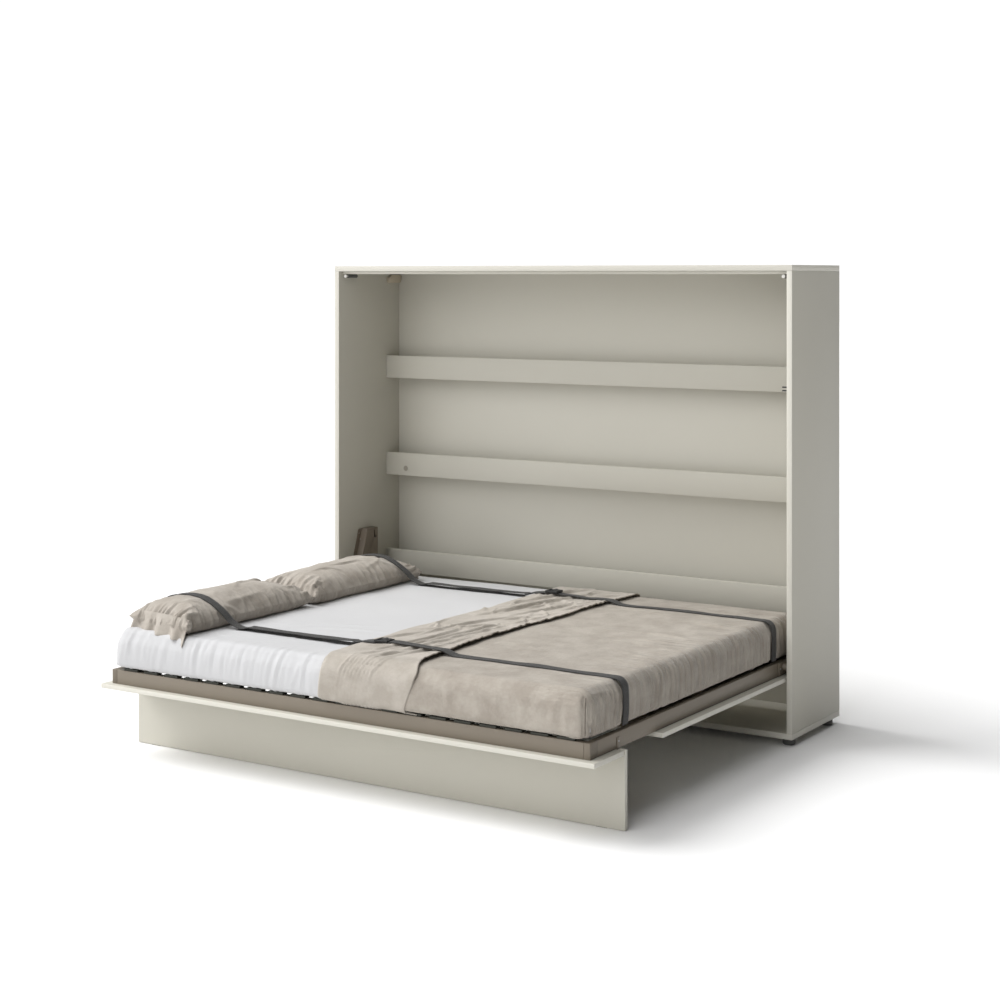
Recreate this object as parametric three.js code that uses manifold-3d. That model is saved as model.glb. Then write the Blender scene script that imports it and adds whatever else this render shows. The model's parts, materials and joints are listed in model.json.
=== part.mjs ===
// Horizontal murphy wall bed, open: a low cabinet with a double bed that folds up into it
// about its long side. Millimetres, +Z up. The origin is on the floor, at the middle of the
// whole object's box; +X runs along the cabinet and +Y goes towards the wall.
// Inside the assembly group y is counted from the cabinet's front plane, so the open bed
// lies at negative y and the cabinet at positive y.

import * as THREE from 'three';
import { mergeVertices } from 'three/addons/utils/BufferGeometryUtils.js';
import Module from 'manifold-3d';

const wasm = await Module();
wasm.setup();

// ---- driving dimensions ------------------------------------------------------------

const CABINET_W = 2150;
const CABINET_H = 1807;
const CABINET_D = 463;
const REACH = 1444;             // how far the open bed stands out in front of the cabinet
const FOOT_H = 29;
const BOARD = 22;               // carcass boards
const FRONT_BOARD = 16;         // front boards and rails
const GAP = 0.3;                // kept between pieces that touch

const RAIL_H = 100;
const RAIL_Y = 350;             // front face of the cross rails
const RAIL_TOPS = { upper_rail: 1406, middle_rail: 970, lower_rail: 536 };
const BACK_Y = 448;             // inner face of the back panel
const BACK_T = 4;

const FRONT_HALF_W = 1047.5;    // half width of the three front boards
const FRONT_TOP_Z = 259;        // upper face of the front boards, bed open
const PIVOT_Y = 47;             // bed pivot
const PIVOT_Z = 290;

const STRIP_INNER_Y = -1252;
const LEG_FACE_Y = -1247;
const LEG_LENGTH = 257;
const MAIN_OUTER_Y = -987;
const MAIN_INNER_Y = 278;

const FRAME_HALF_L = 1017;
const FRAME_FRONT_Y = -1417;
const FRAME_REAR_Y = 205;
const FRAME_BOTTOM_Z = FRONT_TOP_Z + GAP;
const FRAME_H = 52;
const LONG_RAIL_W = 30;
const END_RAIL_W = 24;
const TUBE_WALL = 2;
const CONNECTOR_L = 50;

const SLATS = 20;
const SLAT_PITCH = 97.6;
const SLAT_W = 53;
const SLAT_T = 6;
const HOLDER_W = 64;
const HOLDER_H = 8.4;
const HOLDER_L = 26;

const MATTRESS_HALF_L = 1005;
const MATTRESS_Y = [-1412, 200];
const MATTRESS_Z = [320.3, 462];

// ---- derived places ----------------------------------------------------------------

const SIDE_X = CABINET_W / 2;
const INNER_X = SIDE_X - BOARD;
const BOTTOM_TOP_Z = FOOT_H + BOARD;
const TOP_UNDER_Z = CABINET_H - BOARD;
const FRONT_UNDER_Z = FRONT_TOP_Z - FRONT_BOARD;
const FRAME_TOP_Z = FRAME_BOTTOM_Z + FRAME_H;
const FRAME_MID_Y = (FRAME_FRONT_Y + FRAME_REAR_Y) / 2;
const LEG_PIVOT_Y = LEG_FACE_Y + FRONT_BOARD / 2;
const LEG_PIVOT_Z = FRONT_TOP_Z - FRONT_BOARD / 2;
const FOOT_X = SIDE_X - 34;
const FOOT_YS = { front: 50, rear: 412 };
const SIDES = { left: -1, right: 1 };

// ---- finishes ----------------------------------------------------------------------

function finish(colour, roughness, metalness = 0) {
  return new THREE.MeshStandardMaterial({ color: colour, roughness, metalness });
}

const LAMINATE = finish(0xcfcabb, 0.55);
const HARDBOARD = finish(0xc4beae, 0.6);
const TAUPE_STEEL = finish(0x8e8375, 0.45, 0.3);
const TAUPE_PLASTIC = finish(0x86796a, 0.5);
const BEECH = finish(0xc9a877, 0.5);
const DARK_PLASTIC = finish(0x4a4a48, 0.5);
const BLACK_PLASTIC = finish(0x1d1d1e, 0.4);
const WHITE_PLASTIC = finish(0xe8e6e0, 0.45);
const BEIGE_PLASTIC = finish(0xb9ad98, 0.5);
const BRIGHT_STEEL = finish(0xb8babc, 0.25, 1);
const BLACK_STEEL = finish(0x26272a, 0.35, 0.6);
const FELT = finish(0x6b655c, 0.95);
const SHEET_CLOTH = finish(0xe6e6e6, 0.9);
const VELVETY_CLOTH = finish(0xb0a79b, 0.95);
const WEBBING = finish(0x3c3c3f, 0.8);

// ---- shape helpers -----------------------------------------------------------------

function box([x0, x1], [y0, y1], [z0, z1]) {
  const geometry = new THREE.BoxGeometry(x1 - x0, y1 - y0, z1 - z0);
  return geometry.translate((x0 + x1) / 2, (y0 + y1) / 2, (z0 + z1) / 2);
}

// A box given by how far it is from the middle on one side of the object.
function sideBox(side, [near, far], ys, zs) {
  return box(side > 0 ? [near, far] : [-far, -near], ys, zs);
}

// A cylinder along one axis, from a to b on it, round the other two coordinates.
function rod(axis, [a, b], [u, v], radius, segments = 24) {
  const geometry = new THREE.CylinderGeometry(radius, radius, b - a, segments);
  const middle = (a + b) / 2;
  if (axis === 'x') return geometry.rotateZ(Math.PI / 2).translate(middle, u, v);
  if (axis === 'y') return geometry.translate(u, middle, v);
  return geometry.rotateX(Math.PI / 2).translate(u, v, middle);
}

// A flat plate whose outline is drawn in (y, z), between two distances from the middle.
function sidePlate(side, [near, far], outline) {
  const shape = new THREE.Shape(outline.map(([y, z]) => new THREE.Vector2(y, z)));
  const geometry = new THREE.ExtrudeGeometry(shape, { depth: far - near, bevelEnabled: false });
  geometry.applyMatrix4(new THREE.Matrix4().set(0, 0, 1, 0, 1, 0, 0, 0, 0, 1, 0, 0, 0, 0, 0, 1));
  return geometry.translate(side > 0 ? near : -far, 0, 0);
}

// A solid whose outline is drawn in (x, z), from one y to another.
function profileAlongY(outline, [y0, y1]) {
  const shape = new THREE.Shape(outline.map(([x, z]) => new THREE.Vector2(x, z)));
  const geometry = new THREE.ExtrudeGeometry(shape, { depth: y1 - y0, bevelEnabled: false });
  return geometry.rotateX(Math.PI / 2).translate(0, y1, 0);
}

function toSolid(geometry) {
  const plain = geometry.clone();
  plain.deleteAttribute('normal');
  plain.deleteAttribute('uv');
  const merged = mergeVertices(plain, 1e-4);
  return new wasm.Manifold(new wasm.Mesh({
    numProp: 3,
    vertProperties: new Float32Array(merged.attributes.position.array),
    triVerts: new Uint32Array(merged.index.array),
  }));
}

function toGeometry(solid) {
  const mesh = solid.getMesh();
  const geometry = new THREE.BufferGeometry();
  geometry.setAttribute('position', new THREE.BufferAttribute(mesh.vertProperties, 3));
  geometry.setIndex(new THREE.BufferAttribute(mesh.triVerts, 1));
  geometry.computeVertexNormals();
  return geometry;
}

function join(...geometries) {
  return toGeometry(geometries.map(toSolid).reduce((all, one) => all.add(one)));
}

function cut(geometry, ...tools) {
  return toGeometry(tools.map(toSolid).reduce((left, tool) => left.subtract(tool), toSolid(geometry)));
}

// ---- scene graph -------------------------------------------------------------------

const wallBed = new THREE.Group();
const assembly = new THREE.Group();
assembly.position.y = (REACH - CABINET_D) / 2;
wallBed.add(assembly);

function put(name, geometry, material, parent = assembly) {
  const mesh = new THREE.Mesh(geometry, material);
  mesh.name = name;
  parent.add(mesh);
  return mesh;
}

// ---- cabinet -----------------------------------------------------------------------

const STOP_T = 12;
const STOP_Y = [28, 88];
const STEM_R = 4;

// The sides stand between the top and bottom panels, whose ends show at the corners.
function addCarcass() {
  const sideZ = [BOTTOM_TOP_Z + GAP, TOP_UNDER_Z - GAP];
  for (const [word, side] of Object.entries(SIDES)) {
    put(`side_panel_${word}`, sideBox(side, [INNER_X, SIDE_X], [0, CABINET_D], sideZ), LAMINATE);
  }
  put('top_panel', box([-SIDE_X, SIDE_X], [0, CABINET_D], [TOP_UNDER_Z, CABINET_H]), LAMINATE);
  const stemHoles = footPlaces().map(({ x, y }) => (
    rod('z', [0, BOTTOM_TOP_Z - 3], [x, y], STEM_R + 0.6, 16)));
  const bottom = box([-SIDE_X, SIDE_X], [0, CABINET_D], [FOOT_H, BOTTOM_TOP_Z]);
  put('bottom_panel', cut(bottom, ...stemHoles), LAMINATE);
  const innerX = [-INNER_X + GAP, INNER_X - GAP];
  put('back_panel', box(innerX, [BACK_Y, BACK_Y + BACK_T], sideZ), HARDBOARD);
  for (const [name, top] of Object.entries(RAIL_TOPS)) {
    put(name, box(innerX, [RAIL_Y, RAIL_Y + FRONT_BOARD], [top - RAIL_H, top]), LAMINATE);
  }
  const stopZ = [TOP_UNDER_Z - GAP - STOP_T, TOP_UNDER_Z - GAP];
  put('top_stop_strip', box(innerX, STOP_Y, stopZ), LAMINATE);
}

function footPlaces() {
  const places = [];
  for (const [end, y] of Object.entries(FOOT_YS)) {
    for (const [word, side] of Object.entries(SIDES)) {
      places.push({ name: `levelling_foot_${end}_${word}`, x: side * FOOT_X, y });
    }
  }
  return places;
}

// Round foot with a rounded lower edge, and a threaded stem that screws into the bottom panel.
function addFeet() {
  const radius = 24;
  const soleRadius = 17;
  const edge = 7;
  const profile = [new THREE.Vector2(0, 0), new THREE.Vector2(soleRadius, 0)];
  for (const turn of [0.2, 0.4, 0.6, 0.8, 1]) {
    const angle = turn * Math.PI / 2;
    profile.push(new THREE.Vector2(radius - edge + edge * Math.sin(angle), edge - edge * Math.cos(angle)));
  }
  profile.push(new THREE.Vector2(radius, FOOT_H - GAP), new THREE.Vector2(STEM_R, FOOT_H - GAP));
  profile.push(new THREE.Vector2(STEM_R, BOTTOM_TOP_Z - 5), new THREE.Vector2(0, BOTTOM_TOP_Z - 5));
  for (const { name, x, y } of footPlaces()) {
    const foot = put(name, new THREE.LatheGeometry(profile, 28).rotateX(Math.PI / 2), DARK_PLASTIC);
    foot.position.set(x, y, 0);
  }
}

const HANGER_Y = [352, 444];
const HANGER_Z = [1734, 1770];
const HANGER_T = 15;

// Adjustable suspension brackets in the rear top corners, that hook on a rail on the wall.
function addWallHangers() {
  const [y0, y1] = HANGER_Y;
  const [z0, z1] = HANGER_Z;
  const outline = [[y0, z0 + 6], [y0 + 6, z0], [y1 - 6, z0], [y1, z0 + 6], [y1, z1 - 6], [y1 - 6, z1],
    [y0 + 22, z1], [y0, z1 - 14]];
  for (const [word, side] of Object.entries(SIDES)) {
    const body = sidePlate(side, [INNER_X - HANGER_T, INNER_X - GAP], outline);
    const screwHoles = [z0 + 11, z0 + 25].map((z) => (
      rod('y', [y0 - 12, y0 + 10], [side * (INNER_X - 8), z], 3.2, 12)));
    put(`wall_hanger_${word}`, cut(body, ...screwHoles), BEIGE_PLASTIC);
  }
}

const LATCH_ZS = [1334, 1347];
const LATCH_REACH = 28;

// A catch on the right side panel, with two prongs that stand beside the closed bed.
function addLatchKeeper() {
  const plate = box([INNER_X - 3, INNER_X - GAP], [20, 44], [LATCH_ZS[0] - 7, LATCH_ZS[1] + 7]);
  const prongs = LATCH_ZS.map((z) => (
    box([INNER_X - LATCH_REACH, INNER_X - 2], [22, 29], [z - 2.5, z + 2.5])));
  put('latch_keeper', join(plate, ...prongs), BLACK_PLASTIC);
}

const CAP_R = 11.5;
const CAP_PLACE = { x: -945, z: 902 };

// The low round cap over a screw near the left end of the middle rail.
function addRailCap() {
  const cap = new THREE.LatheGeometry([
    new THREE.Vector2(0, 0), new THREE.Vector2(CAP_R, 0), new THREE.Vector2(CAP_R, 1.4),
    new THREE.Vector2(CAP_R - 2, 2.4), new THREE.Vector2(0, 2.8)], 28);
  const mesh = put('rail_screw_cap', cap, BEIGE_PLASTIC);
  mesh.rotation.x = Math.PI;
  mesh.position.set(CAP_PLACE.x, RAIL_Y - GAP, CAP_PLACE.z);
}

// ---- soft-close dampers ------------------------------------------------------------

const DAMPER_X = INNER_X - 21;
const DAMPER_Z = 1764;
const DAMPER_Y = [36, 98];      // the body's front and rear
const DAMPER_R = 8;
const PLUNGER_TIP_Y = 18;
const PLUNGER_R = 3;

// Each damper's plunger slides into its body as the closing bed reaches it.
function addDampers() {
  for (const [word, side] of Object.entries(SIDES)) {
    const place = [side * DAMPER_X, DAMPER_Z];
    const barrel = rod('y', DAMPER_Y, place, DAMPER_R);
    const foot = sideBox(side, [DAMPER_X + 4, INNER_X - GAP], [DAMPER_Y[0] + 12, DAMPER_Y[1] - 8],
      [DAMPER_Z - 7, DAMPER_Z + 7]);
    const bore = rod('y', [DAMPER_Y[0] - 6, DAMPER_Y[1] - 14], place, PLUNGER_R + 0.5, 16);
    put(`damper_body_${word}`, cut(join(barrel, foot), bore), DARK_PLASTIC);
    const plunger = join(rod('y', [PLUNGER_TIP_Y, PLUNGER_TIP_Y + 6], place, 7),
      rod('y', [PLUNGER_TIP_Y + 4, DAMPER_Y[1] - 28], place, PLUNGER_R, 16));
    put(`damper_plunger_${word}`, plunger, WHITE_PLASTIC);
  }
}

// ---- pivots, covers and gas springs ------------------------------------------------

const PIN_R = 8;
const BRACKET_T = 3;
const SPRING_X = INNER_X - 17.5;
const SPRING_TOP = { y: 205, z: 619 };
const SPRING_FOOT = { y: PIVOT_Y + 73, z: PIVOT_Z + 17 };
const COVER_TOP_Z = 647;
const COVER_BOTTOM_Z = 335;
const COVER_REAR_Y = 241;
const COVER_DEPTH = 33;
const COVER_SHEET = 2;
const COVER_SLANT = 0.305;
const COVER_TOP_FRONT_Y = 163.5;
const FLANGE_W = 26;
const STUD_R = 4.2;
const EYE_T = 8;

function coverFrontY(z) {
  return COVER_TOP_FRONT_Y - COVER_SLANT * (COVER_TOP_Z - z);
}

// Steel plate on the side panel, with the pin the bed turns on and the gas spring's stud.
function addPivotBrackets() {
  const outline = [[22, 265], [120, 265], [232, 345], [232, 636], [176, 636], [77, 337], [77, 330],
    [22, 312]];
  for (const [word, side] of Object.entries(SIDES)) {
    const plate = sidePlate(side, [INNER_X - BRACKET_T - GAP, INNER_X - GAP], outline);
    const reach = INNER_X - 2;
    const pin = rod('x', side > 0 ? [FRAME_HALF_L + 1.5, reach] : [-reach, -FRAME_HALF_L - 1.5],
      [PIVOT_Y, PIVOT_Z], PIN_R);
    const near = SPRING_X - EYE_T / 2 - 1.5;
    const stud = rod('x', side > 0 ? [near, reach] : [-reach, -near],
      [SPRING_TOP.y, SPRING_TOP.z], STUD_R, 16);
    put(`pivot_bracket_${word}`, join(plate, pin, stud), TAUPE_STEEL);
  }
}

// Folded sheet cover over the gas spring: a flange on the side panel, a front wall that
// slants forward going down, an inner face and a rear wall; open below for the rod.
function addMechanismCovers() {
  const inner = INNER_X - COVER_DEPTH;
  const t = COVER_SHEET;
  const outer = [[coverFrontY(COVER_BOTTOM_Z), COVER_BOTTOM_Z], [COVER_REAR_Y, COVER_BOTTOM_Z],
    [COVER_REAR_Y, COVER_TOP_Z], [coverFrontY(COVER_TOP_Z), COVER_TOP_Z]];
  const low = COVER_BOTTOM_Z - 10;
  const high = COVER_TOP_Z - t;
  const hollow = [[coverFrontY(low) + t, low], [COVER_REAR_Y - t, low],
    [COVER_REAR_Y - t, high], [coverFrontY(high) + t, high]];
  const flange = [[coverFrontY(COVER_BOTTOM_Z) - FLANGE_W, COVER_BOTTOM_Z],
    [coverFrontY(COVER_BOTTOM_Z) + 1, COVER_BOTTOM_Z], [coverFrontY(COVER_TOP_Z) + 1, COVER_TOP_Z],
    [coverFrontY(COVER_TOP_Z) - FLANGE_W + 6, COVER_TOP_Z],
    [coverFrontY(COVER_TOP_Z) - FLANGE_W, COVER_TOP_Z - 6]];
  for (const [word, side] of Object.entries(SIDES)) {
    const shell = cut(sidePlate(side, [inner, INNER_X - GAP], outer),
      sidePlate(side, [inner + t, INNER_X + 5], hollow));
    const lip = sidePlate(side, [INNER_X - GAP - t, INNER_X - GAP], flange);
    const slots = [[[214, 219], [604, 635]], [[214, 233], [604, 609]]]
      .map(([ys, zs]) => sideBox(side, [inner - 5, inner + t + 1], ys, zs));
    const screwZ = COVER_TOP_Z - 20;
    const screwHole = rod('x', [side * INNER_X - 8, side * INNER_X + 8],
      [coverFrontY(screwZ) - FLANGE_W / 2, screwZ], 3.5, 16);
    put(`mechanism_cover_${word}`, cut(join(shell, lip), ...slots, screwHole), TAUPE_STEEL);
  }
}

// Plate on the end of the bed frame, with the hub that turns on the pin and a stud that
// faces the lower eye of the gas spring. The stud stops just short of the eye.
function addPivotPlates() {
  const plateX = [FRAME_HALF_L + GAP, FRAME_HALF_L + 4.3];
  const hubEnd = INNER_X - 7;
  const studEnd = SPRING_X - EYE_T / 2 - 0.8;
  const outline = [[5, 263], [150, 263], [150, 309], [5, 309]];
  for (const [word, side] of Object.entries(SIDES)) {
    const along = (near, far) => (side > 0 ? [near, far] : [-far, -near]);
    const plate = sidePlate(side, plateX, outline);
    const hub = rod('x', along(plateX[0] + 1, hubEnd), [PIVOT_Y, PIVOT_Z], 14, 32);
    const bore = rod('x', along(FRAME_HALF_L - 5, hubEnd + 5), [PIVOT_Y, PIVOT_Z], PIN_R + 0.5);
    const stud = rod('x', along(plateX[0] + 1, studEnd), [SPRING_FOOT.y, SPRING_FOOT.z], STUD_R, 16);
    put(`bed_pivot_plate_${word}`, cut(join(plate, hub, stud), bore), TAUPE_STEEL);
  }
}

// Gas spring from the bracket's stud down to the bed. Built hanging from its upper eye,
// then turned to point at the lower stud.
function addGasSprings() {
  const fall = SPRING_TOP.z - SPRING_FOOT.z;
  const lean = SPRING_TOP.y - SPRING_FOOT.y;
  const length = Math.hypot(fall, lean);
  const cylinderFrom = 12;
  const cylinderTo = 215;
  const boreTop = 62;
  const eye = (z) => cut(join(rod('x', [-EYE_T / 2, EYE_T / 2], [0, z], 9),
    rod('z', z < 0 ? [z, z + 12] : [z - 16, z], [0, 0], 4)), rod('x', [-9, 9], [0, z], STUD_R + 0.4, 16));
  const tube = cut(rod('z', [-cylinderTo, -cylinderFrom], [0, 0], 11, 28),
    rod('z', [-cylinderTo - 5, -boreTop], [0, 0], 5, 16));
  const cylinder = join(eye(0), tube);
  const piston = join(eye(-length), rod('z', [-length + 6, -boreTop - 8], [0, 0], 4.5, 16));
  for (const [word, side] of Object.entries(SIDES)) {
    const spring = new THREE.Group();
    spring.position.set(side * SPRING_X, SPRING_TOP.y, SPRING_TOP.z);
    spring.rotation.x = -Math.atan2(lean, fall);
    assembly.add(spring);
    put(`gas_spring_cylinder_${word}`, cylinder, BLACK_STEEL, spring);
    put(`gas_spring_rod_${word}`, piston, BRIGHT_STEEL, spring);
  }
}

// ---- bed frame ---------------------------------------------------------------------

// A square tube along x or y: a box with a hollow right through it.
function tube(axis, [a, b], [u0, u1], [z0, z1]) {
  const t = TUBE_WALL;
  const hollow = [[u0 + t, u1 - t], [z0 + t, z1 - t]];
  if (axis === 'x') return cut(box([a, b], [u0, u1], [z0, z1]), box([a - 5, b + 5], ...hollow));
  return cut(box([u0, u1], [a, b], [z0, z1]), box(hollow[0], [a - 5, b + 5], hollow[1]));
}

function addFrameRails() {
  const zs = [FRAME_BOTTOM_Z, FRAME_TOP_Z];
  const longX = [-FRAME_HALF_L + END_RAIL_W + GAP, FRAME_HALF_L - END_RAIL_W - GAP];
  const endY = [FRAME_FRONT_Y + CONNECTOR_L + GAP, FRAME_REAR_Y - CONNECTOR_L - GAP];
  const frontY = [FRAME_FRONT_Y, FRAME_FRONT_Y + LONG_RAIL_W];
  const rearY = [FRAME_REAR_Y - LONG_RAIL_W, FRAME_REAR_Y];
  put('bed_frame_front_rail', tube('x', longX, frontY, zs), TAUPE_STEEL);
  put('bed_frame_rear_rail', tube('x', longX, rearY, zs), TAUPE_STEEL);
  for (const [word, side] of Object.entries(SIDES)) {
    const inner = side * (FRAME_HALF_L - END_RAIL_W);
    const xs = [inner, side * FRAME_HALF_L].sort((a, b) => a - b);
    put(`bed_frame_${word}_rail`, tube('y', endY, xs, zs), TAUPE_STEEL);
  }
  const midY = [FRAME_MID_Y - LONG_RAIL_W / 2, FRAME_MID_Y + LONG_RAIL_W / 2];
  put('bed_frame_centre_rail', tube('x', longX, midY, [FRAME_TOP_Z - 30, FRAME_TOP_Z]), TAUPE_STEEL);
}

// Moulded corner pieces, with a spigot in each of the two tubes that they join.
function addCornerConnectors() {
  const zs = [FRAME_BOTTOM_Z, FRAME_TOP_Z];
  const inset = TUBE_WALL + GAP;
  const plug = [zs[0] + inset, zs[1] - inset];
  const reach = 25;
  const innerX = FRAME_HALF_L - END_RAIL_W;
  for (const [end, sign] of Object.entries({ front: -1, rear: 1 })) {
    const edge = sign < 0 ? FRAME_FRONT_Y : FRAME_REAR_Y;
    const ys = (near, far) => [edge - sign * near, edge - sign * far].sort((a, b) => a - b);
    for (const [word, side] of Object.entries(SIDES)) {
      const block = sideBox(side, [innerX, FRAME_HALF_L], ys(0, CONNECTOR_L), zs);
      const longSpigot = sideBox(side, [innerX - reach, innerX + 1], ys(inset, LONG_RAIL_W - inset), plug);
      const endSpigot = sideBox(side, [innerX + inset, FRAME_HALF_L - inset],
        ys(CONNECTOR_L - 1, CONNECTOR_L + reach), plug);
      put(`frame_corner_${end}_${word}`, join(block, longSpigot, endSpigot), TAUPE_PLASTIC);
    }
  }
}

function slatCentres() {
  return Array.from({ length: SLATS }, (_, i) => (i - (SLATS - 1) / 2) * SLAT_PITCH);
}

const HOLDER_Z = [FRAME_TOP_Z + GAP, FRAME_TOP_Z + GAP + HOLDER_H];
const SLAT_Z = [HOLDER_Z[0] + 1.2, HOLDER_Z[0] + 1.2 + SLAT_T];

// Two rows of sprung slats across the bed. Two tapes hold each row at its spacing.
function addSlats() {
  const rows = {
    slats_front: [FRAME_FRONT_Y + 9, FRAME_MID_Y - 3],
    slats_rear: [FRAME_MID_Y + 3, FRAME_REAR_Y - 9],
  };
  const half = (SLATS - 1) / 2 * SLAT_PITCH;
  for (const [name, ys] of Object.entries(rows)) {
    const slats = slatCentres().map((x) => box([x - SLAT_W / 2, x + SLAT_W / 2], ys, SLAT_Z));
    const tapes = [0.3, 0.7].map((share) => {
      const y = ys[0] + share * (ys[1] - ys[0]);
      return box([-half, half], [y - 12, y + 12], [SLAT_Z[0] - 1, SLAT_Z[0] + 1]);
    });
    put(name, join(...slats, ...tapes), BEECH);
  }
}

// Plastic pockets for the slat ends along the front and rear rails, one strip to a rail.
function addSlatHolders() {
  const half = (SLATS - 1) / 2 * SLAT_PITCH;
  const rows = {
    slat_holders_front: [FRAME_FRONT_Y + 3, FRAME_FRONT_Y + 3 + HOLDER_L],
    slat_holders_rear: [FRAME_REAR_Y - 3 - HOLDER_L, FRAME_REAR_Y - 3],
  };
  for (const [name, ys] of Object.entries(rows)) {
    const blocks = slatCentres().map((x) => box([x - HOLDER_W / 2, x + HOLDER_W / 2], ys, HOLDER_Z));
    const strip = box([-half, half], [ys[0] + 9, ys[1] - 9], [HOLDER_Z[0], HOLDER_Z[0] + 0.9]);
    const front = name.endsWith('front');
    const pocketY = front ? [ys[0] + 5, ys[1] + 1] : [ys[0] - 1, ys[1] - 5];
    const pockets = slatCentres().map((x) => box([x - SLAT_W / 2 - 0.5, x + SLAT_W / 2 + 0.5],
      pocketY, [SLAT_Z[0] - GAP, SLAT_Z[1] + GAP]));
    put(name, cut(join(...blocks, strip), ...pockets), DARK_PLASTIC);
  }
}

// ---- front boards and folding leg --------------------------------------------------

// The closed bed shows three boards: the narrow strip, the leg, and the main panel.
function addFrontBoards() {
  const xs = [-FRONT_HALF_W, FRONT_HALF_W];
  const zs = [FRONT_UNDER_Z, FRONT_TOP_Z];
  put('front_strip', box(xs, [-REACH, STRIP_INNER_Y], zs), LAMINATE);
  put('main_front_panel', box(xs, [MAIN_OUTER_Y, MAIN_INNER_Y], zs), LAMINATE);
}

const LEG_PIN_R = 3;
const LEG_PLATE_T = 3;
const LEG_RELIEF = 6.8;         // lets the turning leg pass below the end rails

// Steel plates on the ends of the frame carry the leg on riveted pins.
function addLegHinges() {
  const y = LEG_PIVOT_Y;
  const plateTop = FRAME_TOP_Z - 15.3;
  const wide = FRAME_BOTTOM_Z + 2.7;
  const outline = [[y - 9, plateTop], [y - 9, wide], [y - 6.5, LEG_PIVOT_Z],
    [y - 4.6, LEG_PIVOT_Z - 4.6], [y, LEG_PIVOT_Z - 6.5], [y + 4.6, LEG_PIVOT_Z - 4.6],
    [y + 6.5, LEG_PIVOT_Z], [y + 9, wide], [y + 9, plateTop]];
  const near = FRAME_HALF_L + GAP;
  for (const [word, side] of Object.entries(SIDES)) {
    const plate = sidePlate(side, [near, near + LEG_PLATE_T], outline);
    const pinX = [near - 16, near + LEG_PLATE_T + 14];
    const pin = rod('x', side > 0 ? pinX : [-pinX[1], -pinX[0]], [y, LEG_PIVOT_Z], LEG_PIN_R, 16);
    put(`leg_hinge_bracket_${word}`, join(plate, pin), BRIGHT_STEEL);
  }
}

// The leg is the middle front board. Its top edge is slotted for the hinge plates, and its
// rear upper corner is taken off below the end rails, which it passes as it turns.
function addLeg() {
  const rearY = LEG_FACE_Y + FRONT_BOARD;
  const panel = box([-FRONT_HALF_W, FRONT_HALF_W], [LEG_FACE_Y, rearY],
    [FRONT_TOP_Z - LEG_LENGTH, FRONT_TOP_Z]);
  const near = FRAME_HALF_L + GAP;
  const corner = [[rearY + 1, FRONT_TOP_Z - LEG_RELIEF - 1], [rearY + 1, FRONT_TOP_Z + 1],
    [rearY - LEG_RELIEF - 1, FRONT_TOP_Z + 1]];
  const cuts = [];
  for (const side of Object.values(SIDES)) {
    cuts.push(sideBox(side, [near - 1, near + LEG_PLATE_T + 1],
      [LEG_FACE_Y - 5, LEG_FACE_Y + FRONT_BOARD + 5], [LEG_PIVOT_Z - 13, FRONT_TOP_Z + 5]));
    const boreX = [near - 20, near + LEG_PLATE_T + 16];
    cuts.push(rod('x', side > 0 ? boreX : [-boreX[1], -boreX[0]],
      [LEG_PIVOT_Y, LEG_PIVOT_Z], LEG_PIN_R + 0.4, 16));
    cuts.push(sidePlate(side, [FRAME_HALF_L - END_RAIL_W - 4, near], corner));
  }
  put('leg_panel', cut(panel, ...cuts), LAMINATE);
  const padTop = FRONT_TOP_Z - LEG_LENGTH - GAP;
  const padX = 960;
  const padHalfL = 20;
  for (const [word, side] of Object.entries(SIDES)) {
    const xs = [side * padX - padHalfL, side * padX + padHalfL];
    put(`leg_pad_${word}`, box(xs, [LEG_FACE_Y + 2, rearY - 2], [0, padTop]), FELT);
  }
}

// ---- mattress, bedding and straps --------------------------------------------------

// A box with rounded vertical corners and softened upper and lower edges.
function softBlock([x0, x1], [y0, y1], [z0, z1], corner, edge) {
  const shape = new THREE.Shape();
  const hx = (x1 - x0) / 2 - edge;
  const hy = (y1 - y0) / 2 - edge;
  const r = corner - edge;
  shape.moveTo(-hx + r, -hy);
  shape.lineTo(hx - r, -hy);
  shape.absarc(hx - r, -hy + r, r, -Math.PI / 2, 0);
  shape.absarc(hx - r, hy - r, r, 0, Math.PI / 2);
  shape.absarc(-hx + r, hy - r, r, Math.PI / 2, Math.PI);
  shape.absarc(-hx + r, -hy + r, r, Math.PI, 1.5 * Math.PI);
  const geometry = new THREE.ExtrudeGeometry(shape, {
    depth: z1 - z0 - 2 * edge, curveSegments: 5, bevelSegments: 4, bevelSize: edge,
    bevelThickness: edge,
  });
  return geometry.translate((x0 + x1) / 2, (y0 + y1) / 2, z0 + edge);
}

const MATTRESS_EDGE = 25;
const BLANKET_T = 9;
const BLANKET_EDGE = 32;
const BLANKET_X = [-40, MATTRESS_HALF_L + BLANKET_T];
const BAND_END_X = 300;
const BLANKET_HEM_Z = 334;
const BLANKET_TOP_Z = MATTRESS_Z[1] + GAP + BLANKET_T;
const BAND_TOP_Z = BLANKET_TOP_Z + 8;

function addMattress() {
  const xs = [-MATTRESS_HALF_L, MATTRESS_HALF_L];
  put('mattress', softBlock(xs, MATTRESS_Y, MATTRESS_Z, 60, MATTRESS_EDGE), SHEET_CLOTH);
}

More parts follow.
